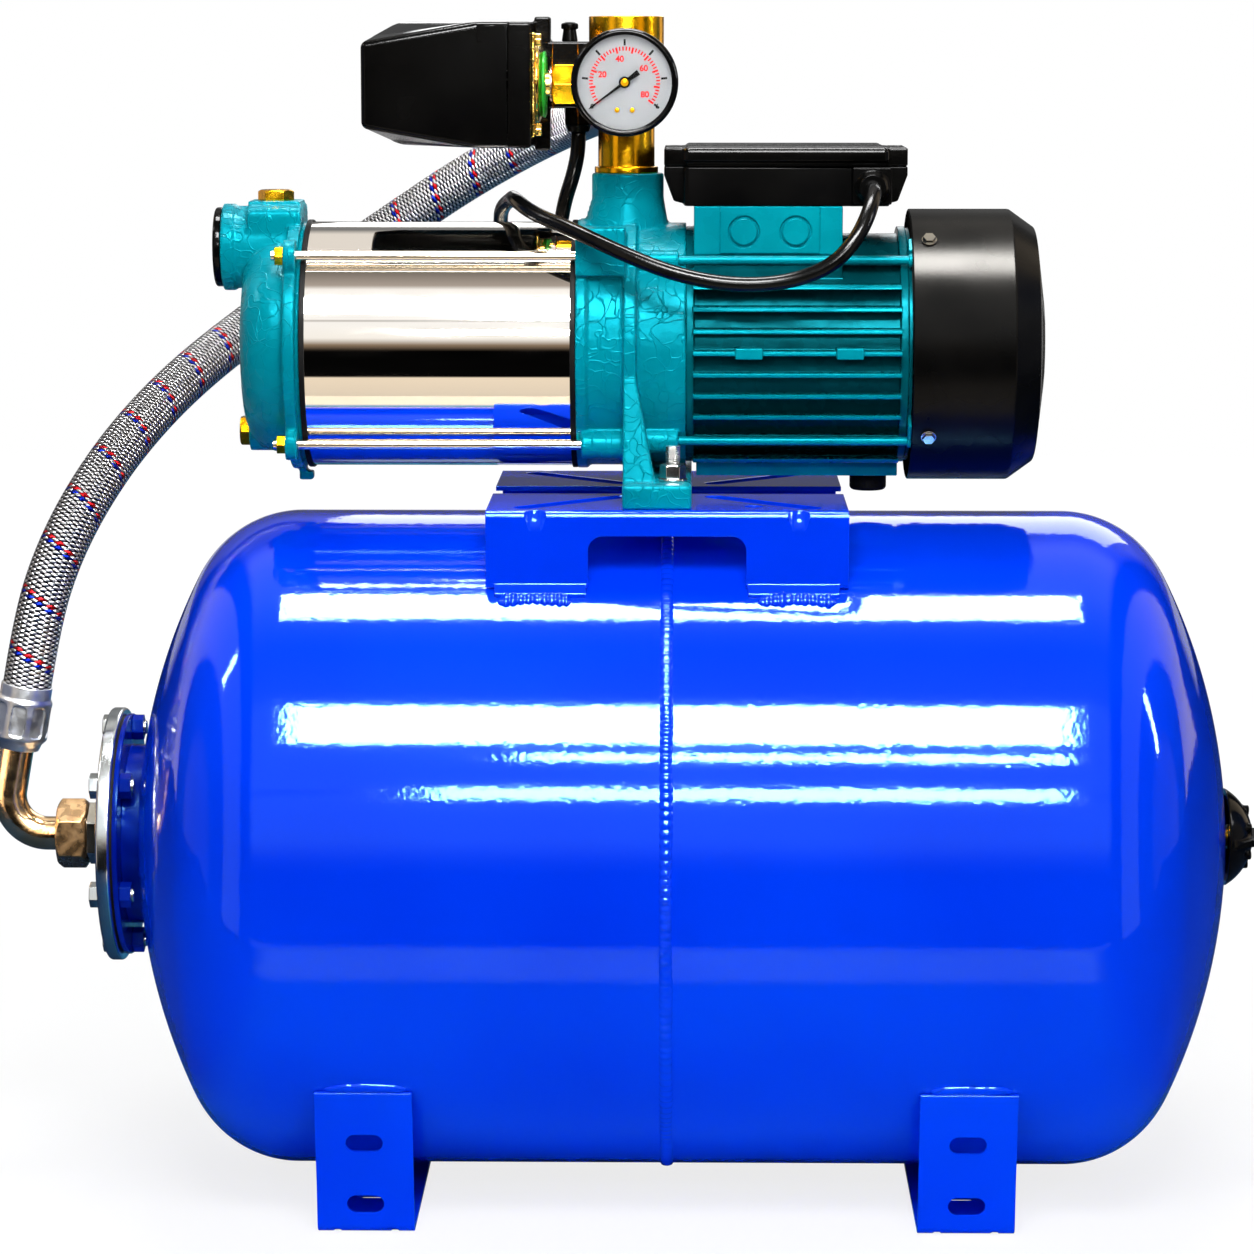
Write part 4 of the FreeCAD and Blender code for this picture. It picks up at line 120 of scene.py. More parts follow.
# Gloss surfaces see the table as warm in front of the set, as blue under it, and as dark to its sides
under_set = spread(table_white, on_table["Y"], 0.0, 1.0, -0.385, -0.355)
beside_set = spread(table_white, reckon(table_white, "ABSOLUTE", on_table["X"]), 0.0, 1.0, 0.27, 0.36)
runner = blend_colours(table_white, under_set, (0.93, 0.78, 0.60), (0.05, 0.26, 0.45))
in_gloss = blend_colours(table_white, beside_set, runner, (0.02, 0.045, 0.10))
paper_tone = blend_colours(table_white, rays["Is Glossy Ray"], (0.93, 0.93, 0.92), in_gloss)
paper = paint_node(table_white, "BsdfDiffuse", {"Color": paper_tone})
glow = paint_node(table_white, "Emission", {"Strength": 1.02})
towards_back = spread(table_white, on_table["Y"], 0.80, 1.0, 0.0, 0.9)
fade = reckon(table_white, "MULTIPLY", rays["Is Camera Ray"], towards_back)
table_shader = blend_shaders(table_white, fade, paper, glow)
paint_node(table_white, "OutputMaterial", {"Surface": table_shader.outputs[0]})
table.data.materials.append(table_white)


# The room is dim for soft light, banded for gloss, and plain white where the camera sees it
def banded(owner, value, bands):
    """Colours that follow one another along a value from 0 to 1: each is (place, colour)."""
    node = paint_node(owner, "ValToRGB", {0: value})
    stops = node.color_ramp.elements
    while len(stops) < len(bands):
        stops.new(0.5)
    # The stops sort themselves as they move, so that their places are set once before their colours
    for stop, (place, shade) in zip(stops, bands):
        stop.position = place
    for stop, (place, shade) in zip(stops, bands):
        stop.position = place
        stop.color = (*shade, 1)
    return node.outputs[0]


room = bpy.data.worlds.new("studio_room")
bpy.context.scene.world = room
room.use_nodes = True
room.node_tree.nodes.clear()
rays = paint_node(room, "LightPath").outputs
sideways, backwards, upwards = axes(room, paint_node(room, "TexCoord").outputs["Generated"])
rise = reckon(room, "ARCTAN2", upwards, reckon(room, "MULTIPLY", backwards, -1.0))
# Degrees above the front horizon, and how bright the room is there: 90 is overhead, 180 behind
room_bands = [(-180, (0.5, 0.5, 0.5)), (-92, (0.6, 0.55, 0.5)), (-28, (1.0, 0.86, 0.68)),
              (-27, (0.002, 0.002, 0.002)), (-2, (0.001, 0.001, 0.001)), (3, (0.30, 0.22, 0.15)),
              (9, (1.08, 1.06, 1.02)), (24.8, (1.1, 1.1, 1.1)), (25.2, (0.5, 0.46, 0.42)),
              (26.2, (1.1, 1.1, 1.1)), (56, (1.08, 1.05, 1.02)), (60, (0.46, 0.40, 0.35)),
              (78, (0.16, 0.14, 0.12)), (90, (0.46, 0.44, 0.42)), (104, (0.86, 0.81, 0.75)),
              (130, (0.86, 0.81, 0.75)), (140, (0.22, 0.22, 0.22)), (160, (0.30, 0.30, 0.30)),
              (166, (0.18, 0.18, 0.18)), (180, (0.10, 0.10, 0.10))]
front_panels = banded(room, spread(room, rise, 0.0, 1.0, -math.pi, math.pi),
                      [((degrees + 180) / 360, shade) for degrees, shade in room_bands])
# The room to either side, from 0 ahead to 1 square to the view: the bright front ends at a black
# curtain, past which are a warm panel and then a blue wall
aside = reckon(room, "ABSOLUTE", sideways)
curtain = banded(room, aside, [(0.40, (1.0, 1.0, 1.0)), (0.46, (0.0, 0.0, 0.0))])
wall = banded(room, aside, [(0.50, (0.004, 0.008, 0.02)), (0.585, (0.01, 0.012, 0.02)),
                            (0.60, (1.0, 0.80, 0.58)), (0.80, (1.1, 0.90, 0.66)),
                            (0.82, (0.03, 0.06, 0.20)), (0.93, (0.02, 0.10, 0.34)), (0.96, (0.3, 0.3, 0.34))])
gloss_room = paint_node(room, "Background", {"Color": blend_colours(room, curtain, wall, front_panels)})
fill = paint_node(room, "Background", {"Color": (0.97, 0.98, 1.0), "Strength": 0.16})
white_room = paint_node(room, "Background", {"Color": (1.0, 1.0, 1.0)})
room_light = blend_shaders(room, rays["Is Glossy Ray"], fill, gloss_room)
seen_directly = reckon(room, "MAXIMUM", rays["Is Camera Ray"], rays["Is Transmission Ray"])
room_shader = blend_shaders(room, seen_directly, room_light, white_room)
paint_node(room, "OutputWorld", {"Surface": room_shader.outputs[0]})


def hang_lamp(name, place, target, width, height, radiance):
    """A flat lamp that faces a point and shows this radiance."""
    data = bpy.data.lights.new(name, "AREA")
    data.shape = "RECTANGLE"
    data.size, data.size_y = width, height
    data.energy = radiance * math.pi * width * height
    lamp = add_object(name, data)
    lamp.location = place
    lamp.rotation_euler = (Vector(target) - lamp.location).to_track_quat("-Z", "Y").to_euler()
    lamp.visible_camera = False
    return lamp


def aim_at(lamp, group_name, pieces, state):
    """Keeps a lamp to some pieces, or off them."""
    group = bpy.data.collections.new(group_name)
    for number, piece in enumerate(pieces):
        group.objects.link(nodes[piece])
        group.collection_objects[number].light_linking.link_state = state
    lamp.light_linking.receiver_collection = group


# Each softbox: name, place, the point that it faces, width, height, radiance, and how much brighter
# its bare tubes look in a gloss surface than the light that it gives
softboxes = [
    ("softbox_main", (0.004, -1.11, 1.39), (0.004, -0.17, 0.29), 0.73, 0.37, 25.0, 4.0),
    ("strip_upper", (0.111, -1.32, 1.16), (0.111, -0.17, 0.27), 0.50, 0.075, 22.0, 4.0),
    ("strip_lower", (0.069, -1.51, 0.88), (0.069, -0.18, 0.255), 0.58, 0.11, 18.0, 4.0),
    ("softbox_top", (0.004, 0.07, 1.85), (0.004, -0.11, 0.345), 0.80, 0.32, 20.0, 3.0),
    ("softbox_left", (-1.50, -0.20, 1.60), (-0.25, -0.05, 0.27), 0.10, 0.42, 12.0, 4.0),
    ("softbox_right", (1.70, -0.18, 1.02), (0.25, -0.05, 0.25), 0.10, 0.50, 12.0, 4.0),
    ("softbox_back", (0.3, 1.9, 1.3), (0.0, 0.0, 0.4), 1.4, 0.8, 3.0, 1.0),
]
glint_lead = 0.02  # a glint hangs this far in front of its light
for name, place, target, width, height, radiance, glare in softboxes:
    light = hang_lamp(name + "_light", place, target, width, height, radiance)
    light.visible_glossy = False
    glint = hang_lamp(name + "_glint", place, target, width, height, radiance * glare)
    glint.location += (Vector(target) - Vector(place)).normalized() * glint_lead
    glint.visible_diffuse = False
    glint.visible_transmission = False
    spared = ("fan_cover", "fan_cover_screws") + ("motor_body",) * (name == "softbox_top")
    aim_at(glint, "spared_by_" + name, spared, "EXCLUDE")

# Small panels that shine on one group of pieces only, as a photographer lights a dark or a
# bright part by itself: pieces, place, target, size, radiance, colour
panels = [
    (("fan_cover",), (0.28, -0.30, 1.64), (0.28, 0, 0.5), 0.42, 105.0, (1.0, 0.97, 0.91)),
    (("hose_elbow", "hose_nuts"), (-1.05, -1.3, 0.85), (-0.36, 0, 0.19), 1.1, 5.0, (1.0, 0.86, 0.66)),
    (("hose_elbow", "hose_nuts"), (-1.75, -0.55, 0.35), (-0.36, 0, 0.19), 1.0, 3.0, (1.0, 0.82, 0.60)),
]
for number, (pieces, place, target, size, radiance, colour) in enumerate(panels):
    panel = hang_lamp("panel_%d" % number, place, target, size, size, radiance)
    panel.data.color = colour
    aim_at(panel, "lit_by_" + panel.name, pieces, "INCLUDE")

eye = bpy.data.cameras.new("camera")
eye.lens, eye.sensor_width, eye.clip_start = 115.55, 36.0, 0.01
camera = add_object("camera", eye)
camera.location = (0.0125, -2.3, 0.65974)
looks_down, looks_left = 8.395, 0.9012
camera.rotation_euler = (math.radians(90 - looks_down), 0, math.radians(looks_left))
bpy.context.scene.camera = camera
bpy.context.scene.view_settings.view_transform = "Standard"


# Braided hose
# A rubber hose under a braid of fine stainless wires, with blue and red marker threads.
# It runs from the tank's elbow, behind the pump, to the rear port of the brass fitting.

hose_diameter = 0.028
hose_points = [(-0.3717, 0.0, 0.286), (-0.3653, 0.0, 0.3218), (-0.3557, 0.0097, 0.3562),
               (-0.3402, 0.0312, 0.3905), (-0.3194, 0.0672, 0.4233), (-0.2933, 0.1135, 0.4526),
               (-0.2603, 0.162, 0.4797), (-0.219, 0.2034, 0.5091), (-0.1733, 0.2285, 0.5401),
               (-0.1307, 0.2322, 0.5687), (-0.0892, 0.2171, 0.5921), (-0.0552, 0.1866, 0.6084),
               (-0.0339, 0.1513, 0.616), (-0.024, 0.1154, 0.6185), (-0.024, 0.08, 0.6185)]


def finish(name, colour, metal=0.0, rough=0.4, shine=0.5, tint=(1.0, 1.0, 1.0)):
    """A plain finish to build the real one on."""
    material = bpy.data.materials.new(name)
    material.use_nodes = True
    body = material.node_tree.nodes["Principled BSDF"]
    for key, value in (("Base Color", colour), ("Metallic", metal), ("Roughness", rough),
                       ("Specular IOR Level", shine), ("Specular Tint", tint)):
        feed(material, body.inputs[key], value)
    return material, body


def relief(material, body, height, depth, strength=1.0):
    """Raises the surface by a height between 0 and 1, depth metres at most."""
    bump = paint_node(material, "Bump", {"Strength": strength, "Distance": depth, "Height": height})
    feed(material, body.inputs["Normal"], bump.outputs[0])


carriers, strand_pitch, strand_height, gap_reach = 12, 0.0026, 0.0015, 1.26
blue_carrier, red_carrier = 1.0, 2.0
braid, braid_body = finish("steel_braid", (0.8, 0.8, 0.8), metal=1.0, rough=0.30)
wrap = axes(braid, paint_node(braid, "UVMap", uv_map="wrap").outputs[0])


def lay(operation, *terms):
    """One step of the braid's pattern."""
    return reckon(braid, operation, *terms)


around_braid = lay("MULTIPLY", wrap["X"], carriers)
along_braid = lay("DIVIDE", wrap["Y"], strand_pitch)
right_lay = lay("ADD", around_braid, along_braid)
left_lay = lay("SUBTRACT", around_braid, along_braid)
right_index, left_index = lay("FLOOR", right_lay), lay("FLOOR", left_lay)
right_across = lay("SUBTRACT", lay("FRACT", right_lay), 0.5)
left_across = lay("SUBTRACT", lay("FRACT", left_lay), 0.5)
weave = lay("FLOORED_MODULO", lay("ADD", right_index, left_index), 2.0)
right_on_top = lay("LESS_THAN", weave, 0.5)
left_on_top = lay("SUBTRACT", 1.0, right_on_top)
top_across = lay("ADD", lay("MULTIPLY", right_across, right_on_top),
                 lay("MULTIPLY", left_across, left_on_top))
top_along = lay("ADD", lay("MULTIPLY", left_across, right_on_top),
                lay("MULTIPLY", right_across, left_on_top))
crown = lay("SUBTRACT", 1.0, lay("POWER", lay("ABSOLUTE", lay("MULTIPLY", top_across, 2.0)), 2.0))
arch = lay("COSINE", lay("MULTIPLY", top_along, math.pi * 0.96))
wires = lay("ABSOLUTE", lay("SINE", lay("MULTIPLY", top_across, math.pi * 4)))
hump = lay("MULTIPLY", lay("MULTIPLY", crown, arch), lay("ADD", 0.7, lay("MULTIPLY", wires, 0.3)))
relief(braid, braid_body, hump, strand_height)
strand = lay("FLOORED_MODULO", right_index, float(carriers))
blue_thread = lay("MULTIPLY", right_on_top, lay("COMPARE", strand, blue_carrier, 0.1))
red_thread = lay("MULTIPLY", right_on_top, lay("COMPARE", strand, red_carrier, 0.1))
dark_gap = lay("LESS_THAN", lay("ADD", crown, arch), gap_reach)
strands = blend_colours(braid, dark_gap, (0.52, 0.52, 0.53), (0.0015, 0.0015, 0.003))
strands = blend_colours(braid, blue_thread, strands, (0.004, 0.015, 0.30))
strands = blend_colours(braid, red_thread, strands, (0.55, 0.01, 0.015))
feed(braid, braid_body.inputs["Base Color"], strands)


def smooth_line(name, points, steps):
    """Points along the smooth curve that the route's points pull into shape, and its length."""
    data = bpy.data.curves.new(name + "_line", "CURVE")
    data.dimensions = "3D"
    data.resolution_u = steps
    spline = data.splines.new("NURBS")
    spline.points.add(len(points) - 1)
    for knot, point in zip(spline.points, points):
        knot.co = (*point, 1)
    spline.order_u = 3
    spline.use_endpoint_u = True
    guide = add_object(name + "_line", data)
    line = bpy.data.meshes.new_from_object(guide.evaluated_get(bpy.context.evaluated_depsgraph_get()))
    dots = [v.co.copy() for v in line.vertices]
    bpy.data.objects.remove(guide)
    bpy.data.curves.remove(data)
    bpy.data.meshes.remove(line)
    return dots, sum((b - a).length for a, b in zip(dots, dots[1:]))


def round_faces(rings, around):
    """The four-sided faces between rings of points that follow one another."""
    return [(i + k, i + (k + 1) % around, i + (k + 1) % around + around, i + k + around)
            for i in range(0, (rings - 1) * around, around) for k in range(around)]


def sleeve_over(name, dots, radius, around):
    """A closed round tube over a line of points, with its turn and its run in metres as UV."""
    end = len(dots) - 1
    tangents = [(dots[min(i + 1, end)] - dots[max(i - 1, 0)]).normalized() for i in range(len(dots))]
    side = tangents[0].orthogonal().normalized()
    verts, runs, travelled = [], [], 0.0
    for i, (dot, tangent) in enumerate(zip(dots, tangents)):
        side = (side - tangent * side.dot(tangent)).normalized()
        other = tangent.cross(side)
        travelled += (dot - dots[i - 1]).length if i else 0.0
        runs.append(travelled)
        for k in range(around):
            angle = 2 * math.pi * k / around
            verts.append(dot + (side * math.cos(angle) + other * math.sin(angle)) * radius)
    first, last = len(verts), len(verts) + 1
    faces = round_faces(len(dots), around)
    for k in range(around):
        faces.append((first, (k + 1) % around, k))
        faces.append((last, end * around + k, end * around + (k + 1) % around))
    tube = skin(name, verts + [dots[0], dots[-1]], faces)
    plan = tube.data.uv_layers.new(name="wrap")
    for face in tube.data.polygons:
        rings = [v // around if v < first else (0 if v == first else end) for v in face.vertices]
        turns = [(v % around) / around if v < first else None for v in face.vertices]
        for loop, r, t in zip(face.loop_indices, rings, turns):
            if t is None:
                t = turns[1]
            if t == 0 and max(x for x in turns if x is not None) > 0.5:
                t = 1.0
            plan.data[loop].uv = (t, runs[r])
    return tube


def settle(piece, material, node=None, body="unit"):
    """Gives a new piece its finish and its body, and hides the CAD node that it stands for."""
    piece.data.materials.append(material)
    if node:
        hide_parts(node)
    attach(piece, body)


hose_dots, hose_length = smooth_line("braided_hose", hose_points, 18)
hose = sleeve_over("braided_hose_skin", hose_dots, hose_diameter / 2, 64)
settle(hose, braid, "braided_hose")


# Motor lead
# A round rubber-sheathed cable from the terminal box's gland, across the pump's front and over the
# sleeve. Its slack hangs behind the sleeve, and it rises from there into the switch's lower gland.

lead_diameter = 0.0085
lead_points = [(0.1133, -0.061, 0.575), (0.1133, -0.0734, 0.575), (0.1122, -0.0861, 0.5703),
               (0.109, -0.097, 0.5607), (0.1019, -0.1037, 0.5475), (0.0885, -0.1048, 0.5335),
               (0.0646, -0.1002, 0.5249), (0.0349, -0.0981, 0.5235), (0.0041, -0.094, 0.529),
               (-0.0253, -0.0851, 0.5401), (-0.0525, -0.0703, 0.5522), (-0.0758, -0.0506, 0.5605),
               (-0.0872, -0.0249, 0.5679), (-0.0893, 0.0044, 0.5666), (-0.0969, 0.0329, 0.5599),
               (-0.0983, 0.0557, 0.5482), (-0.101, 0.0719, 0.5303), (-0.1134, 0.0815, 0.5072),
               (-0.1087, 0.0887, 0.4824), (-0.0877, 0.0938, 0.4674), (-0.0618, 0.093, 0.4719),
               (-0.0472, 0.0863, 0.4927), (-0.0516, 0.0763, 0.5197), (-0.0641, 0.0627, 0.5442),
               (-0.0608, 0.0454, 0.5626), (-0.0549, 0.0338, 0.5796), (-0.052, 0.031, 0.5937),
               (-0.052, 0.031, 0.6035)]


def on_piece(material):
    """A point's place on its piece, in metres."""
    return paint_node(material, "TexCoord").outputs["Object"]


def grain(material, scale, detail=2.0, stretch=None):
    """A soft random pattern with about scale marks per metre; stretch makes it longer one way."""
    place = on_piece(material)
    if stretch:
        place = paint_node(material, "Mapping", {"Vector": place, "Scale": stretch}).outputs[0]
    marks = {"Vector": place, "Scale": scale, "Detail": detail}
    return paint_node(material, "TexNoise", marks).outputs["Fac"]


def uneven(material, body, scale, low, high, **pattern):
    """Roughness that wanders a little over the surface."""
    feed(material, body.inputs["Roughness"], spread(material, grain(material, scale, **pattern), low, high))


def mottle(material, body, scale, dark, light, **pattern):
    """Colour that wanders between two near tones."""
    share = spread(material, grain(material, scale, **pattern), 0.0, 1.0)
    feed(material, body.inputs["Base Color"], blend_colours(material, share, dark, light))


cable_black, cable_body = finish("cable_black", (0.002, 0.002, 0.002), shine=0.14)
uneven(cable_black, cable_body, 40, 0.15, 0.23)
mottle(cable_black, cable_body, 90, (0.0015, 0.0015, 0.0015), (0.003, 0.003, 0.003), detail=3)
relief(cable_black, cable_body, grain(cable_black, 700), 0.00006)
lead_dots, lead_length = smooth_line("motor_lead", lead_points, 10)
lead = sleeve_over("motor_lead_sheath", lead_dots, lead_diameter / 2, 24)
settle(lead, cable_black, "motor_lead")


# Tank
# Two deep-drawn steel halves with dished ends, butt welded at the middle and painted in a deep
# gloss blue. The paint has the faint orange peel of a powder coat.

tank_axis, tank_radius = 0.198, 0.189
knuckle, crown_ball, shell_wall = 0.064, 0.340, 0.002
half_gap, boss_bore = 0.0005, 0.0085
straight_steps, knuckle_steps, crown_steps = 14, 24, 28
blue_shine = (0.28, 0.75, 1.0)

tank_blue, tank_body = finish("tank_blue", (0.0, 0.034, 0.76), rough=0.06, tint=blue_shine)
mottle(tank_blue, tank_body, 6, (0.0, 0.030, 0.72), (0.0, 0.040, 0.80))
fine_peel = reckon(tank_blue, "MULTIPLY", grain(tank_blue, 260, detail=1.0), 0.25)
wide_peel = grain(tank_blue, 11, detail=1.0, stretch=(0.5, 1.0, 1.0))
relief(tank_blue, tank_body, reckon(tank_blue, "ADD", fine_peel, wide_peel), 0.00055, strength=0.35)


def dished_half(side, tangent, opening):
    """The outline of one drawn half: straight shell, knuckle and crown."""
    offset = math.sqrt((crown_ball - knuckle) ** 2 - (tank_radius - knuckle) ** 2)
    join = math.atan2(tank_radius - knuckle, offset)
    outline = [(side * (half_gap + (tangent - half_gap) * k / straight_steps), tank_radius)
               for k in range(straight_steps)]
    for k in range(knuckle_steps + 1):
        angle = math.pi / 2 + (join - math.pi / 2) * k / knuckle_steps
        outline.append((side * (tangent + knuckle * math.cos(angle)),
                        tank_radius - knuckle + knuckle * math.sin(angle)))
    stop = math.asin(opening / crown_ball)
    for k in range(1, crown_steps + 1):
        angle = join + (stop - join) * k / crown_steps
        outline.append((side * (tangent - offset + crown_ball * math.cos(angle)),
                        crown_ball * math.sin(angle)))
    return outline


def shade_flats(mesh):
    """Smooth shading that stops at sharp edges."""
    mesh.shade_smooth()
    mesh.set_sharp_from_angle(angle=math.radians(35))


def turned(name, outline, axis_z, steps, along="X", axis_x=0.0):
    """A turned skin: an outline of (place on the axis, radius) swept round the axis."""
    verts = []
    for place, radius in outline:
        for k in range(steps):
            angle = 2 * math.pi * k / steps
            c, s = radius * math.cos(angle), radius * math.sin(angle)
            verts.append((place, c, axis_z + s) if along == "X" else (axis_x + c, place, axis_z + s))
    piece = skin(name, verts, round_faces(len(outline), steps))
    work = bmesh.new()
    work.from_mesh(piece.data)
    bmesh.ops.remove_doubles(work, verts=work.verts, dist=1e-6)
    bmesh.ops.recalc_face_normals(work, faces=work.faces)
    work.to_mesh(piece.data)
    work.free()
    shade_flats(piece.data)
    return piece


for name, side, tangent, opening in (("left", -1, 0.212, 0.052), ("right", 1, 0.227, 0.012)):
    outer = dished_half(side, tangent, opening)
    inner = [(x - side * shell_wall * (i >= straight_steps), max(radius - shell_wall, boss_bore))
             for i, (x, radius) in enumerate(outer)]
    half_shell = turned("tank_half_" + name, outer + inner[::-1] + outer[:1], tank_axis, 224)
    settle(half_shell, tank_blue, "tank_shell_" + name)


# Weld seam and weld beads
# The machine-laid seam shows its ripples under the paint. Short hand-laid beads hold the saddle's
# skirts and the feet to the shell.

def seam_ring():
    """The seam's round bead, with a ripple for each drop that the machine laid."""
    steps, across, ripples = 1680, 10, 118
    row = across + 1
    verts, faces = [], []
    for k in range(steps):
        angle = 2 * math.pi * k / steps
        ripple = abs(math.sin(angle * ripples + 1.6 * noise.noise(Vector((angle * 9, 0.3, 0.0)))))
        swell = noise.noise(Vector((math.cos(angle) * 9, math.sin(angle) * 9, 1.7)))
        width = 0.0036 * (1 + 0.10 * swell + 0.07 * ripple)
        height = 0.00105 + 0.0008 * ripple + 0.0003 * swell
        for j in range(row):
            s = -1 + 2 * j / across
            radius = tank_radius + (height * (1 - s * s) ** 0.6 if abs(s) < 1 else -0.0006)
            verts.append((width * s + 0.0003 * swell, radius * math.cos(angle),
                          tank_axis + radius * math.sin(angle)))
        for j in range(across):
            a, b = k * row + j, ((k + 1) % steps) * row + j
            faces.append((a, b, b + 1, a + 1))
    return skin("tank_seam_bead", verts, faces)


settle(seam_ring(), tank_blue, "tank_weld_seam")


def lay_bead(name, verts, around):
    """Closes a bead's rings of points at both ends and paints it with the tank."""
    faces = round_faces(len(verts) // around, around)
    faces.append(tuple(range(around))[::-1])
    faces.append(tuple(range(len(verts) - around, len(verts))))
    settle(skin(name, verts, faces), tank_blue)


def hand_bead(name, start, end, seed, sag):
    """A short bead of overlapping drops between two points on the shell."""
    steps, around, thickness, drop_length = 60, 14, 0.0036, 0.0042
    a, b = Vector(start), Vector(end)
    direction = (b - a).normalized()
    out = Vector((0, a.y, a.z - tank_axis)).normalized()
    other = direction.cross(out)
    verts = []
    for i in range(steps + 1):
        t = i / steps
        wander = 0.0006 * noise.noise(Vector((t * 7, seed, 0)))
        centre = a.lerp(b, t) + other * (sag * math.sin(math.pi * t) + wander)
        drop = abs(math.sin(t * math.pi * (b - a).length / drop_length + seed))
        size = thickness * (0.8 + 0.28 * drop + 0.3 * noise.noise(Vector((t * 5, 0, seed))))
        size *= min(1.0, (t * 12 + 0.25), ((1 - t) * 12 + 0.25))
        for k in range(around):
            angle = 2 * math.pi * k / around
            verts.append(centre + out * (math.cos(angle) * size * 0.75)
                         + other * (math.sin(angle) * size * 1.25))
    lay_bead(name, verts, around)


def pillow_bead(name, centre_x, side, seed):
    """A smooth wide bead across a foot's top edge, as the torch leaves it in one pass."""
    steps, around, thickness = 48, 20, 0.0030
    foot_top, half_length = 0.0855, 0.0225
    verts = []
    for i in range(steps + 1):
        t = -1 + 2 * i / steps
        z = foot_top + 0.0012 * (1 - t * t) + 0.0005 * noise.noise(Vector((t * 3, seed, 0.2)))
        y = side * math.sqrt(tank_radius ** 2 - (tank_axis - z) ** 2)
        centre = Vector((centre_x + half_length * t, y, z))
        out = Vector((0, y, z - tank_axis)).normalized()
        up = Vector((0, -side * out.z, side * out.y)).normalized()
        swell = 1 + 0.10 * noise.noise(Vector((t * 6, 0, seed)))
        size = thickness * max(0.12, (1 - abs(t) ** 5) ** 0.5) * swell
        for k in range(around):
            angle = 2 * math.pi * k / around
            verts.append(centre + out * (math.cos(angle) * size * 0.8) + up * (math.sin(angle) * size * 1.1))
    lay_bead(name, verts, around)


skirt_y, foot_x = 0.1112, 0.1665
skirt_z = tank_axis + math.sqrt(tank_radius ** 2 - skirt_y ** 2)
for side, place in ((-1, "front"), (1, "rear")):
    for end, start_x, end_x, seed in (("left", -0.093, -0.052, 1.3), ("right", 0.050, 0.093, 4.1)):
        hand_bead("saddle_bead_%s_%s" % (place, end), (start_x, side * skirt_y, skirt_z),
                  (end_x, side * skirt_y, skirt_z), seed, side * 0.002)
    for end, x in (("left", -foot_x), ("right", foot_x)):
        pillow_bead("foot_bead_%s_%s" % (place, end), x + 0.001, side, 7.0 + x * 9)


# Saddle and feet
# Bent and punched steel plate in the tank's blue: two mirrored plates with slots for different
# pump feet, and two slotted U strips under the tank.

def ease_edges(piece, width, segments):
    """Breaks a piece's sharp edges, as pressing, casting or moulding leaves them."""
    weld = piece.modifiers.new("join_corners", "WELD")
    weld.merge_threshold = 0.00001
    flat = piece.modifiers.new("whole_flats", "DECIMATE")
    flat.decimate_type = "DISSOLVE"
    flat.angle_limit = math.radians(0.6)
    edge = piece.modifiers.new("broken_edges", "BEVEL")
    edge.width = width
    edge.segments = segments
    edge.limit_method = "ANGLE"
    edge.angle_limit = math.radians(32)
    edge.use_clamp_overlap = False
    crisp = piece.modifiers.new("crisp_steps", "EDGE_SPLIT")
    crisp.split_angle = math.radians(48)
    even = piece.modifiers.new("even_shading", "WEIGHTED_NORMAL")
    even.keep_sharp = False
    even.weight = 80


def dress(name, material, edge=0.0, segments=2):
    """Gives a CAD node its finish, and broken edges where the real piece has them."""
    piece = nodes[name]
    piece.data.materials.clear()
    piece.data.materials.append(material)
    if edge:
        ease_edges(piece, edge, segments)


for name in ("saddle_front", "saddle_rear", "tank_foot_left", "tank_foot_right"):
    dress(name, tank_blue, 0.0005)


# Neck and flanges
# A short blue neck with a welded flange; a galvanised counter flange clamps the rubber lip with
# six zinc-plated bolts, whose nuts were painted with the tank. The flange and the nuts take a darker
# copy of the tank's blue, as painted shade in the neck.

zinc, zinc_body = finish("zinc_plate", (0.52, 0.52, 0.48), metal=1.0, rough=0.2)
mottle(zinc, zinc_body, 14, (0.46, 0.42, 0.34), (0.54, 0.58, 0.60))
uneven(zinc, zinc_body, 60, 0.15, 0.26)
relief(zinc, zinc_body, grain(zinc, 420, detail=3), 0.00003)
lip_black, lip_body = finish("lip_rubber", (0.003, 0.003, 0.003), rough=0.4, shine=0.06)
relief(lip_black, lip_body, grain(lip_black, 500), 0.00015)
uneven(lip_black, lip_body, 60, 0.5, 0.7)
# A darker copy of the tank's blue: painted shade on the neck's flange and its nuts
shaded_tank_blue, shaded_blue_body = finish("tank_blue_painted_shade", (0.0, 0.010, 0.26), rough=0.16, shine=0.12, tint=blue_shine)
mottle(shaded_tank_blue, shaded_blue_body, 40, (0.0, 0.006, 0.20), (0.0, 0.014, 0.32))
uneven(shaded_tank_blue, shaded_blue_body, 120, 0.12, 0.24)
dress("neck_flange", shaded_tank_blue, 0.0006)
dress("flange_nuts", shaded_tank_blue, 0.0005)
dress("counter_flange", zinc, 0.0007)
dress("flange_bolts", zinc, 0.0005)
dress("membrane", lip_black)


# Air valve
# A brass charging valve with a sprung core, screwed into the boss on the right dome, under a
# domed cap of black plastic that has one long grip fin.

def moulded_black(name, tone, low, high, shine):
    """Black moulded plastic, slightly uneven."""
    material, body = finish(name, (tone, tone, tone), rough=low, shine=shine)
    mottle(material, body, 35, (tone * 0.7, tone * 0.7, tone * 0.7), (tone * 1.5, tone * 1.45, tone * 1.35))
    uneven(material, body, 18, low, high, detail=3)
    relief(material, body, grain(material, 900), 0.00006, strength=0.6)
    return material


def yellow_brass(name, low, high):
    """Bright machined brass."""
    material, body = finish(name, (0.80, 0.42, 0.008), metal=1.0, rough=low)
    mottle(material, body, 45, (0.70, 0.32, 0.003), (0.85, 0.47, 0.012), detail=4)
    uneven(material, body, 110, low, high, detail=3)
    relief(material, body, grain(material, 600, detail=3), 0.00006)
    return material


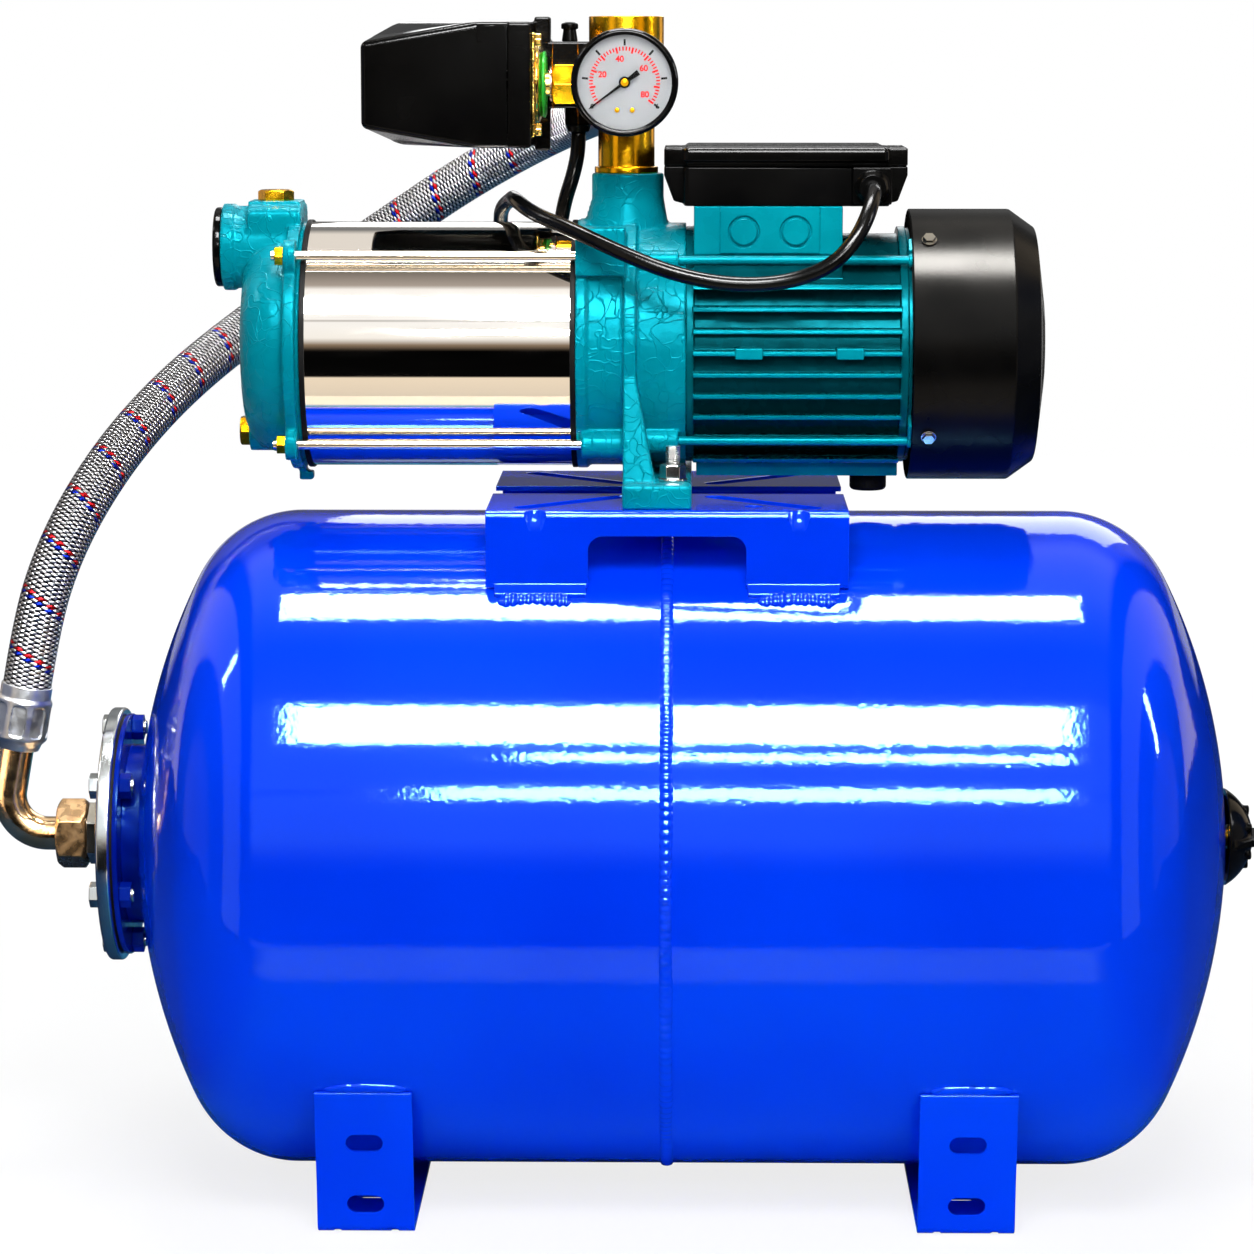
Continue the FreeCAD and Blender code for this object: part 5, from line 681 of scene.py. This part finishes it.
gloss_black = moulded_black("gloss_black", 0.002, 0.07, 0.12, 0.10)
satin_black = moulded_black("satin_black", 0.002, 0.15, 0.22, 0.03)
brass = yellow_brass("yellow_brass", 0.14, 0.26)
steel_bright, steel_body = finish("bright_steel", (0.60, 0.59, 0.57), metal=1.0, rough=0.22)
uneven(steel_bright, steel_body, 200, 0.16, 0.34, stretch=(0.2, 1, 1))
mottle(steel_bright, steel_body, 60, (0.50, 0.49, 0.47), (0.66, 0.65, 0.63))
dress("air_valve_body", brass, 0.0003)
dress("air_valve_core", steel_bright)
dress("air_valve_cap", gloss_black, 0.0008)


# Hose fittings
# A union nut of brown-passivated steel, a chromed elbow whose warm gold colour is partly its own brass
# tint and partly a painted reflection of warm surroundings, and crimped ferrules of pale zinc.

def fitting_metal(name, dark, light, low, high):
    """Plated steel with the plating's faint clouds."""
    material, body = finish(name, light, metal=1.0, rough=low)
    mottle(material, body, 70, dark, light, detail=4)
    uneven(material, body, 150, low, high, detail=3)
    relief(material, body, grain(material, 500, detail=4), 0.00010)
    return material


nut_brown = fitting_metal("nut_brown", (0.34, 0.20, 0.09), (0.58, 0.38, 0.20), 0.22, 0.36)
# The elbow's warm gold colour is partly a painted reflection of warm surroundings
warm_reflection_chrome = fitting_metal("warm_reflection_chrome", (0.88, 0.53, 0.24), (1.0, 0.75, 0.45), 0.12, 0.20)
ferrule_zinc = fitting_metal("ferrule_zinc", (0.54, 0.56, 0.58), (0.64, 0.66, 0.69), 0.28, 0.42)
dress("hose_nuts", nut_brown, 0.0007)
dress("hose_elbow", warm_reflection_chrome)
dress("hose_ferrules", ferrule_zinc, 0.0006)


# Pump castings
# Suction cover and bracket are sand castings in hammered teal paint. The paint bridges the sand's
# grain and leaves thin curved wrinkles.

teal_shine = (0.02, 0.8, 1.0)
teal, teal_body = finish("cast_teal", (0.0, 0.23, 0.295), rough=0.28, shine=0.2, tint=teal_shine)
mottle(teal, teal_body, 24, (0.0, 0.205, 0.265), (0.0, 0.265, 0.335), detail=3)
uneven(teal, teal_body, 70, 0.24, 0.38)
drift = paint_node(teal, "TexNoise", {"Vector": on_piece(teal), "Scale": 48, "Detail": 1.5})
shift = paint_node(teal, "VectorMath", {0: drift.outputs["Color"], "Scale": 0.045}, operation="SCALE")
moved = paint_node(teal, "VectorMath", {0: on_piece(teal), 1: shift.outputs[0]}, operation="ADD")
cells = paint_node(teal, "TexVoronoi", {"Vector": moved.outputs[0], "Scale": 85}, feature="DISTANCE_TO_EDGE")
wrinkle = reckon(teal, "MULTIPLY", spread(teal, cells.outputs["Distance"], 1.0, 0.0, 0.0, 0.05), 0.6)
sand = grain(teal, 150, detail=3)
relief(teal, teal_body, reckon(teal, "ADD", wrinkle, sand), 0.00045, strength=0.75)


def cast_skin(name, node):
    """A copy of a casting with the soft corners and fillets that a sand mould gives."""
    piece = add_object(name, nodes[node].data.copy())
    weld = piece.modifiers.new("join_corners", "WELD")
    weld.merge_threshold = 0.00001
    remesh = piece.modifiers.new("sand", "REMESH")
    remesh.mode = "VOXEL"
    remesh.voxel_size = 0.0009
    soften = piece.modifiers.new("soft_corners", "SMOOTH")
    soften.factor = 0.5
    soften.iterations = 3
    made = bpy.data.meshes.new_from_object(piece.evaluated_get(bpy.context.evaluated_depsgraph_get()))
    piece.modifiers.clear()
    piece.data = made
    made.materials.clear()
    made.shade_smooth()
    settle(piece, teal, node)


cast_skin("suction_cover_casting", "suction_cover")
cast_skin("pump_bracket_casting", "pump_bracket")
dress("suction_cap", gloss_black, 0.0006)
dress("fill_plug", brass, 0.0004)
dress("drain_plug", brass, 0.0004)


# Pump sleeve
# A mirror-polished stainless tube, clamped between the castings with a black gasket at each end.

mirror, mirror_body = finish("mirror_steel", (0.86, 0.82, 0.77), metal=1.0, rough=0.035)
mottle(mirror, mirror_body, 9, (0.83, 0.78, 0.71), (0.88, 0.85, 0.81), stretch=(0.3, 1, 1))
uneven(mirror, mirror_body, 120, 0.02, 0.06, stretch=(0.15, 1, 1))
relief(mirror, mirror_body, grain(mirror, 26, detail=1.0, stretch=(0.12, 1.0, 1.0)), 0.00016, strength=0.25)
pump_axis, sleeve_radius, sleeve_bore, sleeve_parts = 0.484, 0.0694, 0.0679, 8
sleeve_left, sleeve_right = (corner[0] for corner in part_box("pump_sleeve"))
outer = [(sleeve_left + (sleeve_right - sleeve_left) * k / sleeve_parts, sleeve_radius)
         for k in range(sleeve_parts + 1)]
inner = [(sleeve_right, sleeve_bore), (sleeve_left, sleeve_bore)]
sleeve_skin = turned("sleeve_tube", outer + inner + outer[:1], pump_axis, 192)
settle(sleeve_skin, mirror, "pump_sleeve")
dress("sleeve_gaskets", lip_black, 0.0005)


# Studs, foot bolts and nuts
# Long zinc-plated studs with brass nuts hold the sleeve; M8 bolts with visible threads hold the
# pump's foot to the saddle.

stud_steel, stud_body = finish("stud_metal", (0.78, 0.70, 0.58), metal=1.0, rough=0.14)
mottle(stud_steel, stud_body, 30, (0.72, 0.62, 0.48), (0.80, 0.73, 0.62), detail=1, stretch=(0.1, 1, 1))
uneven(stud_steel, stud_body, 60, 0.12, 0.20, stretch=(0.1, 1, 1))
thread_steel, thread_body = finish("threaded_metal", (0.60, 0.60, 0.58), metal=1.0, rough=0.25)
thread_pitch = 0.00125
turns = reckon(thread_steel, "DIVIDE", axes(thread_steel, on_piece(thread_steel))["Z"], thread_pitch)
saw = reckon(thread_steel, "MULTIPLY", reckon(thread_steel, "FRACT", turns), 2.0)
ridge = reckon(thread_steel, "ABSOLUTE", reckon(thread_steel, "SUBTRACT", saw, 1.0))
relief(thread_steel, thread_body, ridge, 0.0006)
uneven(thread_steel, thread_body, 150, 0.18, 0.34)
dress("tie_studs", stud_steel)
dress("tie_stud_nuts", brass, 0.0004)
dress("foot_bolts", thread_steel)
dress("foot_nuts", zinc, 0.0005)


# Inside the pump
# A steel shaft in two ball bearings carries five closed impellers of moulded plastic, each in its
# stage cup. The shaft seal sits behind them.

stage_plastic, stage_body = finish("stage_plastic", (0.72, 0.70, 0.63), rough=0.45)
mottle(stage_plastic, stage_body, 40, (0.66, 0.64, 0.57), (0.76, 0.74, 0.67))
uneven(stage_plastic, stage_body, 60, 0.38, 0.52)
for name in ("impellers", "diffusers"):
    dress(name, stage_plastic)
for name in ("pump_shaft", "mechanical_seal", "ball_bearings"):
    dress(name, steel_bright)


# Motor
# Cast aluminium housing with horizontal fins in the same teal, smoother than the iron castings. Between
# the fins the teal is painted darker, as painted shade. The wound stator and the squirrel-cage rotor are
# inside.

fin_root, fin_middle = 0.0655, 0.0725
motor_teal, motor_coat = finish("motor_teal", (0.0, 0.22, 0.275), rough=0.24, shine=0.2, tint=teal_shine)
on_motor = axes(motor_teal, on_piece(motor_teal))
level = reckon(motor_teal, "SUBTRACT", on_motor["Z"], pump_axis)
squares = reckon(motor_teal, "ADD", reckon(motor_teal, "MULTIPLY", level, level),
                 reckon(motor_teal, "MULTIPLY", on_motor["Y"], on_motor["Y"]))
tone = blend_colours(motor_teal, spread(motor_teal, grain(motor_teal, 20, detail=3), 0.0, 1.0),
                     (0.0, 0.20, 0.255), (0.0, 0.255, 0.315))
# Painted shade: the colour darkens towards the roots of the fins, where shade falls between them
clear_of_fin_shade = spread(motor_teal, reckon(motor_teal, "SQRT", squares), 0.0, 1.0, fin_root, fin_middle)
tone = blend_colours(motor_teal, clear_of_fin_shade, (0.0, 0.048, 0.060), tone)
feed(motor_teal, motor_coat.inputs["Base Color"], tone)
uneven(motor_teal, motor_coat, 90, 0.20, 0.34)
relief(motor_teal, motor_coat, grain(motor_teal, 210, detail=3), 0.00007, strength=0.6)
dress("motor_body", motor_teal, 0.0006)
dress("motor_end_shield", motor_teal, 0.0006)
dress("motor_tie_rods", motor_teal)
disc_front, disc_z, disc_radius = -0.0504, 0.5502, 0.0074
for name, disc_x in (("knockout_disc_left", 0.0422), ("knockout_disc_right", 0.0711)):
    disc = turned(name, [(disc_front + 0.0030, disc_radius), (disc_front + 0.0005, disc_radius),
                         (disc_front, disc_radius - 0.0005), (disc_front, 0.0)], disc_z, 48, "Y", disc_x)
    settle(disc, motor_teal)
dress("rubber_bumper", lip_black, 0.0008)
core_iron, core_body = finish("core_iron", (0.26, 0.25, 0.24), metal=0.8, rough=0.45)
mottle(core_iron, core_body, 80, (0.20, 0.19, 0.18), (0.32, 0.31, 0.30), stretch=(6, 1, 1))
uneven(core_iron, core_body, 80, 0.36, 0.55)
dress("stator", core_iron)
dress("rotor_core", core_iron)


# Fan and fan cover
# A moulded black nylon fan on the shaft's end, under a deep satin black cover with a ring grille.
# Small screws hold the cover to the end shield.

dress("cooling_fan", satin_black, 0.0004)
dress("fan_cover", moulded_black("cover_black", 0.0015, 0.22, 0.30, 0.11), 0.0008)
dress("fan_cover_screws", zinc, 0.0003)


# Terminal box
# A box of black moulded plastic on the motor's pedestal, with a lid that is screwed down at its
# ears, and the motor lead's gland in its front.

dress("terminal_box_base", satin_black, 0.0010)
dress("terminal_box_lid", gloss_black, 0.0010)
dress("cable_gland", satin_black, 0.0006)


# Five-way fitting
# Turned and cast brass, with the pump's outlet below and the house supply's socket above. The
# hose, the gauge and the switch screw into its sides.

dress("five_way_fitting", yellow_brass("fitting_brass", 0.18, 0.26), 0.0006)


# Pressure gauge
# A black-enamelled steel case with a white dial behind glass: black outer marks, a red inner
# scale, and a black needle on a brass hub.

gauge_x, gauge_z, dial_y = -0.024, 0.6328, -0.0628
stroke_lift, figure_lift = 0.00006, 0.00007
dial_white, dial_body = finish("dial_white", (0.33, 0.335, 0.345), rough=0.5, shine=0.1)
mottle(dial_white, dial_body, 60, (0.32, 0.325, 0.335), (0.34, 0.345, 0.355))
mark_black, mark_body = finish("mark_black", (0.002, 0.002, 0.002), rough=0.5, shine=0.05)
mottle(mark_black, mark_body, 300, (0.0015, 0.0015, 0.0015), (0.003, 0.003, 0.003))
mark_red, red_body = finish("mark_red", (0.60, 0.0, 0.0), rough=0.5, shine=0.1)
mottle(mark_red, red_body, 300, (0.55, 0.0, 0.0), (0.64, 0.004, 0.004))
dress("gauge_case", gloss_black, 0.0005)
dress("gauge_dial", dial_white)
dress("gauge_needle", mark_black)
lens_glass, lens_body = finish("lens_glass", (0.97, 0.98, 0.98), rough=0.02)
lens_body.inputs["Transmission Weight"].default_value = 1.0
lens_body.inputs["IOR"].default_value = 1.2
dress("gauge_lens", lens_glass)


def dial_marks(name, material, marks):
    """Flat printed strokes on the dial: each is (angle, inner radius, outer radius, width)."""
    verts, faces = [], []
    for angle, inner, outer, width in marks:
        c, s = math.cos(math.radians(angle)), math.sin(math.radians(angle))
        corner = len(verts)
        for radius, side in ((inner, -1), (outer, -1), (outer, 1), (inner, 1)):
            verts.append((gauge_x + radius * c - side * s * width / 2, dial_y - stroke_lift,
                          gauge_z + radius * s + side * c * width / 2))
        faces.append((corner, corner + 1, corner + 2, corner + 3))
    settle(skin(name, verts, faces, smooth=False), material)


scale_start, scale_sweep, red_steps = 216.2, 252.4, 45
dial_marks("dial_strokes_black", mark_black,
           [(scale_start - scale_sweep * k / 6, 0.0202, 0.0236, 0.0012) for k in range(7)])
dial_marks("dial_strokes_red", mark_red,
           [(scale_start - scale_sweep * k / red_steps, 0.0174 if k % 5 else 0.0162, 0.0196,
             0.0008 if k % 5 else 0.0011) for k in range(red_steps + 1)])


def dial_figure(name, words, angle, radius, size, material):
    """One printed number, upright on the dial."""
    text = bpy.data.curves.new(name, "FONT")
    text.body = words
    text.size = size
    text.align_x, text.align_y = "CENTER", "CENTER"
    text.offset = 0.03 * size
    figure = add_object(name, text)
    figure.rotation_euler = (math.radians(90), 0, 0)
    figure.location = (gauge_x + radius * math.cos(math.radians(angle)), dial_y - figure_lift,
                       gauge_z + radius * math.sin(math.radians(angle)))
    settle(figure, material)


for words, angle in (("20", 161), ("40", 102), ("60", 36), ("80", -31)):
    dial_figure("figure_red_" + words, words, angle, 0.0130, 0.0046, mark_red)
for words, angle in (("0", scale_start), ("6", scale_start - scale_sweep)):
    dial_figure("figure_black_" + words, words, angle, 0.0222, 0.0036, mark_black)

boss_y = -0.0651
boss_outline = [(-0.0006, 0.0), (-0.0006, 0.0016), (-0.0003, 0.0022), (0.0003, 0.0023), (0.0003, 0.0)]
needle_boss = turned("needle_boss", [(boss_y + y, radius) for y, radius in boss_outline], gauge_z, 32, "Y",
                     gauge_x)
settle(needle_boss, brass, body="needle")
screw_head = [(0.0002, 0.0), (0.0002, 0.0014), (-0.0003, 0.0014), (-0.0005, 0.0011), (-0.0005, 0.0003),
              (-0.0002, 0.0003), (-0.0002, 0.0)]
for name, side in (("dial_screw_left", -1), ("dial_screw_right", 1)):
    head = turned(name, [(dial_y + y, radius) for y, radius in screw_head], gauge_z - 0.0152, 24, "Y",
                  gauge_x + 0.0042 * side)
    settle(head, brass)


# Pressure switch
# A gloss black cover over the switch works, a base plate with a wiring chamber at the back, and a
# diaphragm flange in yellow zinc with a green sealing ring, held by a brass swivel nut.

switch_z = 0.631
hood_left, hood_right, hood_half_height, hood_half_depth = -0.172, -0.0902, 0.035, 0.036


def switch_hood():
    """The cover's shell: its ends are tapered, and its shoulder runs slantwise from front to back."""
    work = bmesh.new()
    rings = []
    for y, shoulder, end in ((-hood_half_depth, -0.107, 0.024), (hood_half_depth, -0.158, 0.0255)):
        rings.append([work.verts.new((x, y, switch_z + z)) for x, z in (
            (hood_left, -end), (shoulder, -hood_half_height), (hood_right, -hood_half_height),
            (hood_right, hood_half_height), (shoulder, hood_half_height), (hood_left, end))])
    near, far = rings
    work.faces.new(near)
    work.faces.new(far[::-1])
    for k in (0, 1, 3, 4, 5):
        work.faces.new((near[k], far[k], far[(k + 1) % 6], near[(k + 1) % 6]))
    bmesh.ops.recalc_face_normals(work, faces=work.faces)
    mesh = bpy.data.meshes.new("switch_hood")
    work.to_mesh(mesh)
    work.free()
    mesh.shade_smooth()
    hood = add_object("switch_hood", mesh)
    edge = hood.modifiers.new("rounded_edges", "BEVEL")
    edge.width, edge.segments = 0.0036, 5
    edge.limit_method, edge.angle_limit = "ANGLE", math.radians(6)
    wall = hood.modifiers.new("wall", "SOLIDIFY")
    wall.thickness, wall.offset = 0.0025, -1
    even = hood.modifiers.new("even_shading", "WEIGHTED_NORMAL")
    even.weight = 80
    return hood


settle(switch_hood(), gloss_black, "switch_cover")
step = bpy.data.meshes.new("switch_front_step")
work = bmesh.new()
bmesh.ops.create_cube(work, size=1.0, matrix=Matrix.Translation((-0.0986, -0.0355, switch_z))
                      @ Matrix.Diagonal((0.0168, 0.0022, 0.0660, 1.0)))
bmesh.ops.bevel(work, geom=[e for e in work.edges if all(v.co.y < -hood_half_depth for v in e.verts)],
                offset=0.0005, segments=3, affect="EDGES", profile=0.5)
work.to_mesh(step)
work.free()
shade_flats(step)
front_step = add_object("switch_front_step", step)
front_step.modifiers.new("even_shading", "WEIGHTED_NORMAL").weight = 80
settle(front_step, gloss_black)
dress("switch_base", gloss_black, 0.0014, segments=3)
dress("switch_glands", satin_black, 0.0006)
gold_zinc = fitting_metal("gold_zinc", (0.62, 0.40, 0.07), (0.80, 0.58, 0.16), 0.12, 0.22)
dress("diaphragm_flange", gold_zinc, 0.0006)
dress("swivel_nut", brass, 0.0005)
ring_green, ring_body = finish("ring_green", (0.01, 0.30, 0.03), rough=0.3, shine=0.15)
mottle(ring_green, ring_body, 120, (0.008, 0.24, 0.02), (0.015, 0.36, 0.04))
uneven(ring_green, ring_body, 200, 0.25, 0.4)
seal_ring = turned("diaphragm_seal", [(-0.0720, 0.0158), (-0.0711, 0.0186), (-0.0700, 0.0188),
                                      (-0.0692, 0.0172), (-0.0697, 0.0152), (-0.0720, 0.0158)], switch_z, 72)
settle(seal_ring, ring_green)
washer_pink, washer_body = finish("copper_washer", (0.85, 0.48, 0.40), metal=1.0, rough=0.2)
mottle(washer_pink, washer_body, 150, (0.78, 0.40, 0.32), (0.88, 0.56, 0.48))
uneven(washer_pink, washer_body, 200, 0.15, 0.3)
swivel_washer = turned("swivel_washer", [(-0.0672, 0.0062), (-0.0672, 0.0098), (-0.0660, 0.0100),
                                         (-0.0660, 0.0062), (-0.0672, 0.0062)], switch_z, 48)
settle(swivel_washer, washer_pink)
dress("switch_piston", steel_bright)
dress("switch_lever", steel_bright)
